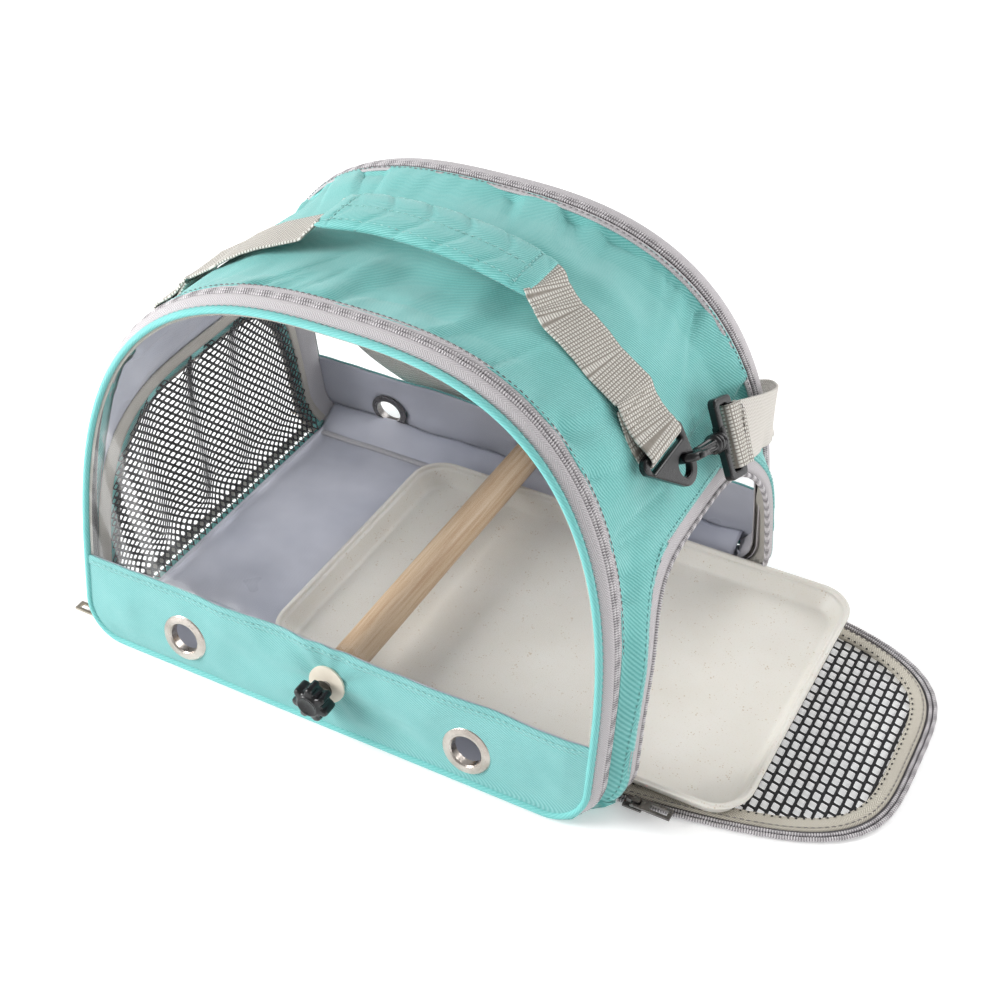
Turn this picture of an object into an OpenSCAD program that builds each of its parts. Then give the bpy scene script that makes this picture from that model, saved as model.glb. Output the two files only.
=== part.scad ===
// Soft-sided travel carrier for a bird: an arched bag with two zipped clear panels,
// a wooden perch between them, a slide-out tray and a mesh flap at one end.
// Origin: middle of the flat base. +X is the end with the flap, -Y is the front panel.

/* [Bag] */
// Width of the front and rear panels
panel_w = 360; // [330:1:390]
// Height of the panels' arch above the base
panel_h = 264; // [250:1:280]
// Depth between the two panels at the base
base_d = 284; // [276:1:300]
// How far each panel leans back at the top of its arch
lean = 42; // [30:1:50]
// Radius of the lower corners
corner_r = 26; // [20:1:32]
// Height where the straight sides turn into the arch
arch_start = 46; // [40:1:60]
// Squareness of the arch, 2 is an ellipse
arch_power = 2.75; // [2.3:0.05:3.2]
// Thickness of the coated polyester
fabric_t = 1.6; // [1.2:0.1:2]

/* [Panels] */
// Height of the fabric band along the bottom of a panel
band_h = 61; // [50:1:75]
// Distance of the front eyelets from the middle
front_eyelet_x = 102; // [85:1:125]
// Distance of the rear eyelets from the middle
rear_eyelet_x = 118; // [85:1:125]
// Height of the eyelets
eyelet_z = 27; // [22:1:34]
// Bore radius of an eyelet
eyelet_r = 10; // [8:0.5:12]
// Depth of the zip between a panel and the bag
zip_depth = 18; // [16:1:24]

/* [End openings] */
// Half width of the end openings at the sill
end_half = 120; // [104:1:121]
// Top of the left window
end_top = 154; // [130:1:158]
// Top of the right doorway
door_top = 144; // [130:1:158]
// Length of the mesh flap
flap_len = 158; // [140:1:170]

/* [Perch and tray] */
// Radius of the perch dowel
perch_r = 10.8; // [8:0.1:12]
// Height of the perch axis
perch_z = 35; // [34:1:40]
// Sideways place of the perch
perch_x = 5; // [-20:1:20]
// Length of the tray
tray_l = 328; // [300:1:336]
// Width of the tray over its rim
tray_w = 215; // [180:1:216]
// Height of the tray rim
tray_h = 16; // [12:1:16]
// Sideways place of the tray's middle as shown
tray_x = 97; // [0:1:120]

/* [Handle and strap] */
// Width of the webbing
web_w = 38; // [30:1:40]
// Length of the padded grip
grip_l = 138; // [132:1:148]
// Sideways place of the grip
grip_x = 11; // [6:1:12]
// Height of the grip's middle
grip_z = 283; // [278:1:292]
// Place of the handle along the depth
handle_y = -6; // [-12:1:12]
// Place of the rings along the depth
ring_y = -28; // [-30:1:-24]

/* [Hidden] */
$fn = 48;
slope = lean / panel_h;
lean_angle = atan(slope);
hem_z = 3;
body_g = 4;
body_in = body_g - fabric_t;
board_t = 3;
floor_z = fabric_t + board_t + 0.8;
sill_z = floor_z;
end_power = 4;
end_taper = 0.2;
tape_w = 6;
coil_w = 2.2;
flap_x = 186;
tray_z = floor_z + 0.4;
web_t = 1.6;
arch_steps = 44;
bar_z = 196;
bar_off = 7.5;
end_tilt = atan((body_x(bar_z - 10) - body_x(bar_z + 10)) / 20);
hook_turn = -18;
hook_at = [20.6, -21.5, bar_off];
hook_len = 28;
eye_reach = hook_len + 26;
screw_r = 3;
slider_turn = -48;
eye_roll = -30;

// A point of the rounded arch: a is the half width and b the height
function arch_point(t, a, b, power) =
    [sign(cos(t)) * a * pow(abs(cos(t)), 2 / power), b * pow(max(sin(t), 0), 2 / power)];

// Outline of the bag seen from the front, grown by g, with its base at height base
function bag_outline(g, base) =
    let (a = panel_w / 2 + g, r = corner_r + g, b = panel_h + g - arch_start)
    concat(
        [for (i = [0:arch_steps])
            [0, arch_start] + arch_point(180 * i / arch_steps, a, b, arch_power)],
        [for (t = [180:15:270]) [-a + r + r * cos(t), base + r + r * sin(t)]],
        [for (t = [270:15:360]) [a - r + r * cos(t), base + r + r * sin(t)]]
    );

// Half width of the bag's outside at height z, above the straight sides
function body_x(z) =
    let (b = panel_h + body_g - arch_start)
    (panel_w / 2 + body_g)
        * pow(1 - pow(max(z - arch_start, 0) / b, arch_power), 1 / arch_power);

// Outline of an end opening seen from the side, grown by g
function end_outline(g, top) = [
    for (i = [0:28])
        let (p = arch_point(180 * i / 28, 1, 1, end_power))
        [(end_half + g) * p[0] * (1 - end_taper * p[1]), sill_z + (top + g - sill_z) * p[1]]
];

// Depth coordinate of the front panel's plane, sunk by t, at height z
function front_y(t, z) = -base_d / 2 + t + z * slope;

// Draws a shape of width and height as a slab that runs along the depth
module along_depth(d = 420) {
    rotate([90, 0, 0]) linear_extrude(d, center = true) children();
}

// Draws a shape of depth and height as a slab between two places on the width
module along_width(x0, x1) {
    translate([x0, 0, 0]) rotate([90, 0, 90]) linear_extrude(x1 - x0) children();
}

// The layer between two depths t0 and t1 behind the front panel's plane
module front_layer(t0, t1, low = -8, high = 300) {
    along_width(-240, 240) polygon([
        [front_y(t0, low), low], [front_y(t1, low), low],
        [front_y(t1, high), high], [front_y(t0, high), high]
    ]);
}

// Everything between the two panels, sunk by t on both sides
module between_panels(t, low = -8, high = 300) {
    along_width(-240, 240) polygon([
        [front_y(t, low), low], [-front_y(t, low), low],
        [-front_y(t, high), high], [front_y(t, high), high]
    ]);
}

module bag_ring(g_out, g_in, base_out, base_in) {
    along_depth() difference() {
        polygon(bag_outline(g_out, base_out));
        polygon(bag_outline(g_in, base_in));
    }
}

module rear() {
    mirror([0, 1, 0]) children();
}

module left() {
    mirror([1, 0, 0]) children();
}

// Frame of the front panel: x across, y up the panel, z outwards
module panel_frame() {
    translate([0, -base_d / 2, 0]) rotate([90 - lean_angle, 0, 0]) children();
}

// Joins rings of points into one closed skin
module skin(rings) {
    n = len(rings[0]);
    m = len(rings);
    polyhedron(
        points = [for (ring = rings) each ring],
        faces = concat(
            [[for (i = [0:n - 1]) i]],
            [for (k = [0:m - 2]) for (i = [0:n - 1]) each [
                [k * n + i, (k + 1) * n + i, (k + 1) * n + (i + 1) % n],
                [k * n + i, (k + 1) * n + (i + 1) % n, k * n + (i + 1) % n]
            ]],
            [[for (i = [n - 1:-1:0]) (m - 1) * n + i]]
        )
    );
}

function unit(v) = v / norm(v);

// A point on the smooth curve through p, at u counted in points
function curve_point(p, u) =
    let (
        i = min(floor(u), len(p) - 2), f = u - i,
        a = p[max(i - 1, 0)], b = p[i], c = p[i + 1], d = p[min(i + 2, len(p) - 1)]
    )
    0.5 * (2 * b + (c - a) * f + (2 * a - 5 * b + 4 * c - d) * f * f
        + (3 * b - a - 3 * c + d) * f * f * f);

function smooth_route(p, steps) =
    [for (i = [0:steps]) curve_point(p, i * (len(p) - 1) / steps)];

// Cross sections of a flat strap along a route, upright except for a roll at both ends
function strap_rings(route, width, thick, roll) = [
    for (i = [0:len(route) - 1])
        let (
            n = len(route) - 1,
            t = unit(route[min(i + 1, n)] - route[max(i - 1, 0)]),
            up = unit([0, 0, 1] - t[2] * t),
            side = cross(t, up),
            turn = roll * max(0, 1 - i / 10, 1 - (n - i) / 10),
            w = up * cos(turn) + side * sin(turn),
            s = cross(t, w)
        )
        [for (c = [[-1, -1], [1, -1], [1, 1], [-1, 1]])
            route[i] + c[0] * w * width / 2 + c[1] * s * thick / 2]
];

/* Bag */

module end_opening(g, top) {
    along_width(100, 240) polygon(end_outline(g, top));
}

module body_shell() {
    color("mediumturquoise") difference() {
        union() {
            intersection() {
                bag_ring(body_g, body_in, 0, fabric_t);
                between_panels(zip_depth);
            }
            intersection() {
                bag_ring(body_g, body_in, 0, fabric_t);
                between_panels(5, -8, fabric_t);
            }
        }
        end_opening(0, door_top);
        left() end_opening(0, end_top);
    }
}

module body_lining() {
    color("lightslategray") difference() {
        intersection() {
            bag_ring(body_in, body_in - 0.8, fabric_t, fabric_t + 0.8);
            between_panels(zip_depth + 4, floor_z, 300);
        }
        end_opening(6, door_top);
        left() end_opening(6, end_top);
    }
}

// Flat sheet in the bottom of the bag
module base_sheet(inset, z0, z1) {
    half = panel_w / 2 - inset;
    depth = base_d - 2 * zip_depth + 24;
    translate([-half, -depth / 2, z0]) cube([2 * half, depth, z1 - z0]);
}

module floor_board() {
    color("dimgray") base_sheet(27, fabric_t, fabric_t + board_t);
}

module floor_lining() {
    color("slategray") base_sheet(15, fabric_t + board_t, floor_z);
}

// Net of square cells inside an outline, drawn in depth and height
module net_2d(outline, pitch, thread) {
    half = end_half + 10;
    intersection() {
        polygon(outline);
        union() {
            for (y = [-half:pitch:half])
                translate([y - thread / 2, -10]) square([thread, flap_len + 40]);
            for (z = [sill_z:pitch:flap_len + 30])
                translate([-half, z]) square([2 * half, thread]);
        }
    }
}

module left_mesh_window() {
    color("darkslategray") left() along_width(173.4, 174.4) intersection() {
        net_2d(end_outline(-13, end_top), 13, 2.2);
        translate([-200, sill_z + 3]) square([400, 300]);
    }
}

// Band between two outlines of an end opening, with a strip of height foot along the sill
module opening_band(g_out, g_in, top, foot, x0, x1) {
    along_width(x0, x1) difference() {
        polygon(end_outline(g_out, top));
        intersection() {
            polygon(end_outline(g_in, top));
            translate([-200, sill_z + foot]) square([400, 300]);
        }
    }
}

module left_window_binding() {
    color("silver") left() intersection() {
        opening_band(0, -13, end_top, 3, 172, 184);
        union() {
            bag_ring(body_in + 0.6, body_in - 3, fabric_t, fabric_t + 3);
            along_width(172.4, 175.4) translate([-130, 5]) square([260, 160]);
        }
    }
}

module side_opening_tape() {
    color("rosybrown") intersection() {
        opening_band(0, -tape_w - coil_w, door_top, -1, 120, 200);
        union() {
            bag_ring(body_in + 1, body_in, fabric_t, fabric_t + 1);
            intersection() {
                opening_band(-tape_w, -tape_w - coil_w, door_top, -1, 120, 200);
                bag_ring(body_in + 2, body_in - 1, fabric_t, fabric_t + 3);
            }
        }
        along_width(-240, 240) translate([-160, floor_z]) square([320, 260]);
    }
}

module flap_hinge_strip() {
    color("silver") translate([163.6, -end_half + 8, 0.3]) cube([flap_x - 165.7, 2 * end_half - 16, 1.2]);
}

/* Zips */

// Half of a zip round the arch: cloth tape and one coil
module zip_half(tape0, tape1, coil0, coil1) {
    intersection() {
        union() {
            intersection() {
                bag_ring(body_in, body_in - 1, hem_z, hem_z + 1);
                front_layer(tape0, tape1);
            }
            intersection() {
                bag_ring(body_in + 1.2, body_in - 1.2, hem_z, hem_z + 2);
                front_layer(coil0, coil1);
            }
        }
        along_width(-240, 240) translate([-200, 7]) square([400, 300]);
    }
}

module body_zip() {
    zip_half(13.8, zip_depth + 1, 11.4, 13.8);
}

module panel_zip() {
    zip_half(3, 8.7, 8.7, 11.1);
}

module front_body_tape() {
    color("rosybrown") body_zip();
}

module rear_body_tape() {
    color("rosybrown") rear() body_zip();
}

// Frame of the zip slider on the lower left corner, z pointing out of the corner's round
module slider_frame() {
    r = corner_r + body_in + 1.2;
    translate([-panel_w / 2 + corner_r, front_y(11.25, 14), corner_r + hem_z])
        rotate([0, slider_turn - 90, 0]) translate([0, 0, r]) children();
}

// Slider body riding on the coils
module zip_slider() {
    slider_frame() {
        translate([-6, -3.6, 0.1]) cube([12, 7.2, 1.6]);
        translate([-4, -1.5, 1.7]) difference() {
            cube([8, 3, 4.8]);
            translate([4, -1, 2.3]) rotate([-90, 0, 0]) cylinder(h = 6, r = 1.25);
        }
    }
}

// Pull tab with a rectangular hole, lying out to the left from the slider's bridge
module pull_tab() {
    slider_frame() translate([0, 0, 4]) rotate([0, 90 - slider_turn, 0]) {
        rotate([-90, 0, 0]) cylinder(h = 7.4, r = 1.2, center = true);
        for (side = [-1, 1]) translate([-6, side * 2.8 - 0.9, -0.8]) cube([7, 1.8, 1.6]);
        translate([-25, -3.7, -0.8]) difference() {
            cube([19.2, 7.4, 1.6]);
            translate([2.4, 1.9, -1]) cube([11, 3.6, 4]);
        }
    }
}

module front_zip_slider() {
    color("silver") zip_slider();
}

module front_pull_tab() {
    color("silver") pull_tab();
}

module rear_zip_slider() {
    color("silver") rear() zip_slider();
}

module rear_pull_tab() {
    color("silver") rear() pull_tab();
}

/* Clear panels */

// Piping bead round the edge of a panel
module panel_rim() {
    for (s = [[-3, -1.6, 0.6, -2.4], [-1.6, 1.6, 1.8, -3.6], [1.6, 3, 0.6, -2.4]])
        intersection() {
            bag_ring(s[2], s[3], hem_z - s[2], hem_z - s[3]);
            front_layer(s[0], s[1]);
        }
}

module panel_plate(t0, t1, low, high) {
    intersection() {
        along_depth() polygon(bag_outline(-3.6, hem_z + 3.6));
        front_layer(t0, t1, low, high);
    }
}

module window_film() {
    panel_plate(-0.4, 0.4, band_h - 7, 300);
}

module band(eyelet_x) {
    difference() {
        union() {
            panel_plate(-1.6, -0.4, 0, band_h);
            panel_plate(-0.4, 1.4, 0, band_h - 7);
        }
        for (side = [-1, 1])
            panel_frame() translate([side * eyelet_x, eyelet_z, -6]) cylinder(h = 12, r = eyelet_r + 1.2);
        translate([perch_x, 0, perch_z]) rotate([90, 0, 0]) cylinder(h = 200, r = screw_r + 1.2);
    }
}

// Rolled metal eyelets pressed through the band
module eyelets(eyelet_x) {
    for (side = [-1, 1])
        panel_frame() translate([side * eyelet_x, eyelet_z, 0]) rotate_extrude($fn = 64) polygon([
            [eyelet_r, -3], [eyelet_r, 2.2], [eyelet_r + 0.8, 3.2], [eyelet_r + 2.6, 3.4],
            [eyelet_r + 5.4, 2.6], [eyelet_r + 6.2, 1.7], [eyelet_r + 1.1, 1.6],
            [eyelet_r + 1.1, -1.4], [eyelet_r + 4.6, -1.5], [eyelet_r + 4.6, -2.6], [eyelet_r + 1, -3]
        ]);
}

// Flat washer on the band, bored level so that the knob's screw turns in it
module washer() {
    difference() {
        panel_frame() translate([perch_x, perch_z / cos(lean_angle), 1.6]) cylinder(h = 1.4, r = 12.5);
        on_perch_axis(-base_d / 2 + 30) cylinder(h = 60, r = screw_r + 0.05);
    }
}

module on_perch_axis(y) {
    translate([perch_x, y, perch_z]) rotate([90, 0, 0]) children();
}

// Seven-lobed hand knob
module star_knob() {
    knob_y = front_y(0, perch_z) - 5.6;
    on_perch_axis(knob_y) {
        cylinder(h = 6, r = 6.5);
        translate([0, 0, 6]) linear_extrude(11) difference() {
            circle(r = 12.6);
            for (k = [0:6]) rotate(k * 360 / 7 + 12) translate([14.6, 0]) circle(r = 4.2);
        }
        translate([0, 0, 17]) cylinder(h = 1.6, r1 = 9, r2 = 7.6);
    }
}

perch_half = -front_y(0, perch_z) - 4;

module screw(engage) {
    head = front_y(0, perch_z) - 5.6;
    on_perch_axis(-perch_half + engage) cylinder(h = -perch_half + engage - head, r = screw_r);
}

module front_panel_rim() {
    color("turquoise") panel_rim();
}

module front_panel_tape() {
    color("rosybrown") panel_zip();
}

module front_window() {
    color("aliceblue", 0.3) window_film();
}

module front_band() {
    color("turquoise") band(front_eyelet_x);
}

module front_eyelets() {
    color("silver") eyelets(front_eyelet_x);
}

module front_washer() {
    color("linen") washer();
}

module front_knob() {
    color("black") star_knob();
}

module front_screw() {
    color("gray") screw(8);
}

module rear_panel_rim() {
    color("turquoise") rear() panel_rim();
}

module rear_panel_tape() {
    color("rosybrown") rear() panel_zip();
}

module rear_window() {
    color("aliceblue", 0.3) rear() window_film();
}

module rear_band() {
    color("turquoise") rear() band(rear_eyelet_x);
}

module rear_eyelets() {
    color("dimgray") rear() eyelets(rear_eyelet_x);
}

module rear_washer() {
    color("linen") rear() washer();
}

module rear_knob() {
    color("black") rear() star_knob();
}

module rear_screw() {
    color("gray") rear() screw(14);
}

/* Perch, tray and flap */

// Dowel with a wide pilot hole at the front end and a close one at the rear end
module perch_dowel() {
    color("burlywood") difference() {
        translate([perch_x, 0, perch_z]) rotate([90, 0, 0])
            cylinder(h = 2 * perch_half, r = perch_r, center = true, $fn = 96);
        on_perch_axis(-perch_half + 14) cylinder(h = 20, r = screw_r + 3.4);
        rear() on_perch_axis(-perch_half + 18) cylinder(h = 24, r = screw_r + 0.05);
    }
}

module rounded_plate(l, w, r, z, h) {
    translate([0, 0, z]) linear_extrude(h) hull()
        for (sx = [-1, 1], sy = [-1, 1])
            translate([sx * (l / 2 - r), sy * (w / 2 - r)]) circle(r = r, $fn = 40);
}

// Moulded tray with flared walls and a turned-out rim
module tray() {
    wall = 2;
    flare = 9;
    color("linen") translate([tray_x, 0, tray_z]) difference() {
        union() {
            hull() {
                rounded_plate(tray_l - 2 * flare, tray_w - 2 * flare, 16, 0, 0.6);
                rounded_plate(tray_l - 4, tray_w - 4, 22, tray_h - 2.6, 0.6);
            }
            rounded_plate(tray_l, tray_w, 24, tray_h - 2.4, 2.4);
        }
        hull() {
            rounded_plate(tray_l - 2 * flare - 5, tray_w - 2 * flare - 5, 14, wall, 0.4);
            rounded_plate(tray_l - 9, tray_w - 9, 19.5, tray_h, 1);
        }
    }
}

// Draws a shape of the end openings flat on the ground, from the hinge outwards
module on_ground(z0, z1) {
    multmatrix([[0, 1, 0, flap_x - sill_z], [1, 0, 0, 0], [0, 0, -1, z1], [0, 0, 0, 1]])
        linear_extrude(z1 - z0) children();
}

module flap_ring(g_out, g_in, foot, z0, z1) {
    on_ground(z0, z1) difference() {
        polygon(end_outline(g_out, sill_z + flap_len));
        intersection() {
            polygon(end_outline(g_in, sill_z + flap_len));
            translate([-200, sill_z + foot]) square([400, 300]);
        }
    }
}

module flap_coil() {
    color("rosybrown") difference() {
        flap_ring(-8.6, -14, -1, 0.6, 2.8);
        flap_ring(-11, -14, -1, -1, 1.2);
        flap_ring(-11, -14, -1, 2, 4);
    }
}

module flap_binding() {
    color("silver") flap_ring(-14, -24, 10, 0.3, 3.1);
}

module flap_mesh() {
    color("black") on_ground(1.2, 2.2) intersection() {
        net_2d(end_outline(-24, sill_z + flap_len), 13, 2.4);
        translate([-200, sill_z + 10]) square([400, 300]);
    }
}

module flap_zip_slider() {
    color("silver") translate([flap_x + 12, -end_half + 8.6, 2.8]) {
        translate([-6, -3.5, 0]) cube([12, 7, 1.4]);
        translate([-4, -1.6, 1.4]) difference() {
            cube([8, 3.2, 4.6]);
            translate([4, -1, 2.3]) rotate([-90, 0, 0]) cylinder(h = 6, r = 1.25);
        }
    }
}

module flap_pull_tab() {
    color("silver") translate([flap_x + 12, -end_half + 8.6, 6.5]) {
        rotate([-90, 0, 0]) cylinder(h = 7.6, r = 1.2, center = true);
        for (side = [-1, 1]) translate([-1, side * 3 - 0.9, -0.8]) cube([6, 1.8, 1.6]);
        translate([4.8, -3.9, -0.8]) difference() {
            cube([19.2, 7.8, 1.6]);
            translate([5.8, 2, -1]) cube([11, 3.8, 4]);
        }
    }
}

/* Handle, rings, hooks and strap */

// Height of the grip's middle line at x. The right end hangs a little lower.
function grip_height(x) =
    let (s = (x - grip_x) / (grip_l / 2))
    grip_z - 10 * pow(abs(s), 2.2) - 4 * s;

// Padded sleeve with a crown and softened edges
module handle_grip() {
    stations = 20;
    color("turquoise") translate([0, handle_y, 0]) skin([
        for (k = [0:stations])
            let (
                s = k / stations - 0.5,
                x = grip_x + grip_l * s,
                f = pow(1 - pow(abs(s) * grip_l / (grip_l / 2 + 2), 6), 0.5),
                half_w = 19.5 + 1.5 * f, half_t = 1.4 + 3.4 * f
            )
            [for (i = [0:15])
                let (p = 360 * i / 16, c = cos(p), s = sin(p))
                [x, sign(c) * half_w * pow(abs(c), 0.55),
                    grip_height(x) + sign(s) * half_t * pow(abs(s), 0.8)]]
    ]);
}

// Middle line of a webbing in width and height, from the grip's end at x and z down the arch
function web_line(x, z) = concat(
    [[x + 0.6, z - 0.2], [x + 5, (z + body_rise(x + 8)) / 2 + 1.5], [x + 11, body_rise(x + 11) + 3.2]],
    [for (t = [70:-4:34])
        let (p = arch_point(t, panel_w / 2 + 5.2, panel_h + 5.2 - arch_start, arch_power))
        if (p[0] > x + 13) [0, arch_start] + p]
);

function body_rise(x) =
    let (a = panel_w / 2 + body_g)
    arch_start + (panel_h + body_g - arch_start) * pow(1 - pow(x / a, arch_power), 1 / arch_power);

// Flat strip of webbing along a line drawn in width and height
module web_strip(line, thick) {
    n = len(line);
    sides = [for (i = [0:n - 1])
        let (d = unit(line[min(i + 1, n - 1)] - line[max(i - 1, 0)])) [-d[1], d[0]] * thick / 2];
    polygon(concat(
        [for (i = [0:n - 1]) line[i] + sides[i]],
        [for (i = [n - 1:-1:0]) line[i] - sides[i]]
    ));
}

// Webbing along such a line, drifting from the grip's depth to the ring's, a little narrower than its fold
module web_run(line) {
    n = len(line) - 1;
    half_w = web_w / 2 - 0.3;
    skin([
        for (i = [0:n])
            let (
                d = unit(line[min(i + 1, n)] - line[max(i - 1, 0)]),
                s = [-d[1], d[0]] * web_t / 2,
                y = handle_y + (ring_y - handle_y) * min(1, i / (n - 2))
            )
            [for (c = [[1, -1], [-1, -1], [-1, 1], [1, 1]])
                [line[i][0] + c[0] * s[0], y + c[1] * half_w, line[i][1] + c[0] * s[1]]]
    ]);
}

// Frame on the end of the bag at the ring's bar: x to the rear, y up, z outwards
module end_frame() {
    translate([body_x(bar_z), ring_y, bar_z]) rotate([0, -end_tilt, 0]) rotate([90, 0, 90]) children();
}

// Webbing folded round the ring's bar and sewn back on itself
module web_fold() {
    r = 3.6;
    end_frame() translate([-web_w / 2, 0, 0]) rotate([90, 0, 90]) linear_extrude(web_w) {
        difference() {
            translate([0, bar_off]) circle(r = r + web_t);
            translate([0, bar_off]) circle(r = r);
            translate([0, -20]) square([20, 60]);
        }
        web_strip([[0, bar_off - r - web_t / 2], [9, 2.8], [22, 1]], web_t);
        web_strip([[0, bar_off + r + web_t / 2], [8, 8.6], [20, 2.7], [31, 2.2]], web_t);
    }
}

module handle_webbing_right() {
    x = grip_x + grip_l / 2;
    color("silver") {
        web_run(web_line(x, grip_height(x)));
        web_fold();
    }
}

module handle_webbing_left() {
    x = grip_l / 2 - grip_x;
    color("silver") left() {
        web_run(web_line(x, grip_height(-x)));
        web_fold();
    }
}

// Moulded plate with a slot for the webbing and a round hole for the hook
module ring() {
    color("black") end_frame() translate([0, 0, bar_off - 2.4]) linear_extrude(4.8) difference() {
        hull() {
            for (side = [-1, 1]) translate([side * 19.8, -2.9]) circle(r = 5.2);
            translate([12, -22]) circle(r = 12);
        }
        translate([-19.8, -8.4]) square([39.6, 6.1]);
        translate([11, -21.5]) circle(r = 6.4);
    }
}

module ring_right() {
    ring();
}

module ring_left() {
    left() ring();
}

module hook_frame() {
    end_frame() translate(hook_at) rotate([0, 0, hook_turn]) children();
}

// Closed snap hook round the side of the ring, with a thumb catch and a tapered shank
module snap_hook() {
    color("black") hook_frame() {
        rotate([90, 0, 0]) rotate_extrude() translate([6.8, 0]) circle(r = 2.2, $fn = 24);
        translate([7.9, 0, 0]) rotate([0, 90, 0]) cylinder(h = hook_len - 7.9, r1 = 2.8, r2 = 4.2);
        translate([hook_len, 0, 0]) rotate([0, 90, 0]) cylinder(h = 2.2, r = 6);
        translate([-2, -1.6, 7.9]) cube([11, 3.2, 2.6]);
    }
}

module snap_hook_right() {
    snap_hook();
}

module snap_hook_left() {
    left() snap_hook();
}

// Swivel barrel with the long eye that takes the strap
module swivel_eye() {
    inner = web_w + 2;
    color("black") hook_frame() {
        translate([hook_len + 2.4, 0, 0]) rotate([0, 90, 0]) cylinder(h = 7, r = 6.2);
        translate([hook_len + 9, 0, 0]) linear_extrude(5.6, center = true) difference() {
            hull() for (side = [-1, 1]) {
                translate([3.4, side * (inner / 2 + 1)]) circle(r = 3.8);
                translate([eye_reach - hook_len - 9, side * (inner / 2 + 1.6)]) circle(r = 3);
            }
            translate([5, -inner / 2]) square([8.2, inner]);
        }
    }
}

module swivel_eye_right() {
    swivel_eye();
}

module swivel_eye_left() {
    left() swivel_eye();
}

// Route of the strap's middle line behind the bag, from the right eye to the left eye
strap_route = [
    [184, 48.8, 164.8], [186.8, 62, 160.2], [188, 79, 153.4], [186.6, 96, 146.2],
    [184.8, 111.5, 138.4], [180.6, 126.4, 131],
    [174, 136, 126], [158, 140, 117], [120, 141, 96], [70, 141, 74], [20, 141, 62],
    [-30, 141, 59], [-80, 141, 66], [-126, 141, 84], [-158, 140, 108], [-174, 136, 122],
    [-184, 126, 131], [-188, 110, 138], [-188, 92, 147], [-188.2, 77, 154], [-187, 62, 160.2],
    [-184, 48.8, 164.8]
];

module shoulder_strap() {
    color("silver") skin(strap_rings(smooth_route(strap_route, 76), web_w, web_t, eye_roll));
}

// Ladder adjuster that the strap runs through, on its left stretch
module strap_slider() {
    color("black") translate([-188.1, 101, 142.6]) rotate([63.4, 0, 0]) difference() {
        cube([7.2, 46, 26], center = true);
        cube([5.4, 41, 40], center = true);
        for (side = [-1, 1]) translate([0, 0, side * 6]) cube([20, 41, 7], center = true);
    }
}

body_shell();
body_lining();
floor_board();
floor_lining();
left_mesh_window();
left_window_binding();
front_body_tape();
rear_body_tape();
side_opening_tape();
flap_hinge_strip();
front_panel_rim();
front_panel_tape();
front_window();
front_band();
front_eyelets();
front_washer();
front_knob();
front_screw();
rear_panel_rim();
rear_panel_tape();
rear_window();
rear_band();
rear_eyelets();
rear_washer();
rear_knob();
rear_screw();
perch_dowel();
tray();
flap_mesh();
flap_binding();
flap_coil();
handle_grip();
handle_webbing_right();
handle_webbing_left();
ring_right();
ring_left();
snap_hook_right();
snap_hook_left();
swivel_eye_right();
swivel_eye_left();
shoulder_strap();
strap_slider();
front_zip_slider();
front_pull_tab();
rear_zip_slider();
rear_pull_tab();
flap_zip_slider();
flap_pull_tab();
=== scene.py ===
# %% [markdown]
# # Bird travel carrier
# A soft bag with two clear zipped panels, a net flap, a perch and a tray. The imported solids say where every
# piece is, and could be coloured as they are, but a solid block doesn't look sewn. So each soft piece is
# built again here as cloth, net, film or webbing, from the same named sizes, and rides on the body that
# carries it.

# %% Load the frame
import bmesh
import bpy
import math
import numpy as np
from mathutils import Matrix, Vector, noise


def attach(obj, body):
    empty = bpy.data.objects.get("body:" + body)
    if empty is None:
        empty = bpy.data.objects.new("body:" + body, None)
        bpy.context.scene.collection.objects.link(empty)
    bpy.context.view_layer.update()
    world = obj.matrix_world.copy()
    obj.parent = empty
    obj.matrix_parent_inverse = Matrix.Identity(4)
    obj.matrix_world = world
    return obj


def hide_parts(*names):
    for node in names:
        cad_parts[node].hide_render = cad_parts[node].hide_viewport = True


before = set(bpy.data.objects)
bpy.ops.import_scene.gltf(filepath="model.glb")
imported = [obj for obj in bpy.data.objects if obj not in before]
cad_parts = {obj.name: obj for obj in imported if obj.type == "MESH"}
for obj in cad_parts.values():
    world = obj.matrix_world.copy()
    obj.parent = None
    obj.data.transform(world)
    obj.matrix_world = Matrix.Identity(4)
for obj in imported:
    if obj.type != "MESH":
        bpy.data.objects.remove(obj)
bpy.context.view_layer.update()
print("solids:", len(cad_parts))

# %% [markdown]
# ## Sizes
# Millimetres, the same as in the solids. x is across, y is depth and z is up. They stand in one cell, so
# that cloth, zips and film all meet on the same lines.

# %% Sizes
PANEL_W, PANEL_H, BASE_D, LEAN = 360.0, 264.0, 284.0, 42.0
CORNER_R, ARCH_START, ARCH_POWER = 26.0, 46.0, 2.75
SLOPE = LEAN / PANEL_H
FLOOR_Z = 5.4
END_HALF, END_TOP, END_POWER, END_TAPER = 120.0, 154.0, 4.0, 0.2
DOOR_TOP, FLARE = 144.0, 11.0
FLAP_X, FLAP_LEN = 186.0, 158.0
BAND_H = 61.0
WEB_W, WEB_T = 38.0, 1.6
HANDLE_Y, RING_Y = -6.0, -28.0
GRIP_L, GRIP_X, GRIP_Z = 138.0, 11.0, 283.0
RIM_BASE = 3.0       # lowest point of a panel's edge
ZIP_LOW = 7.0        # where the front and rear zips end
COIL_PITCH = 1.8     # one turn of the zip coil
EYELET_UP, EYELET_X, REAR_EYELET_X = 27.0, 102.0, 118.0
PERCH_X, PERCH_Z, PERCH_R = 5.0, 35.0, 10.8
print("panel:", PANEL_W, "x", PANEL_H, "mm, base depth:", BASE_D, "mm")

# %% [markdown]
# ## Camera
# The place, angle and lens were found by fitting the photograph. A camera set by eye would be quicker, but
# then no line of the render could be compared with the photograph.

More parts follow.
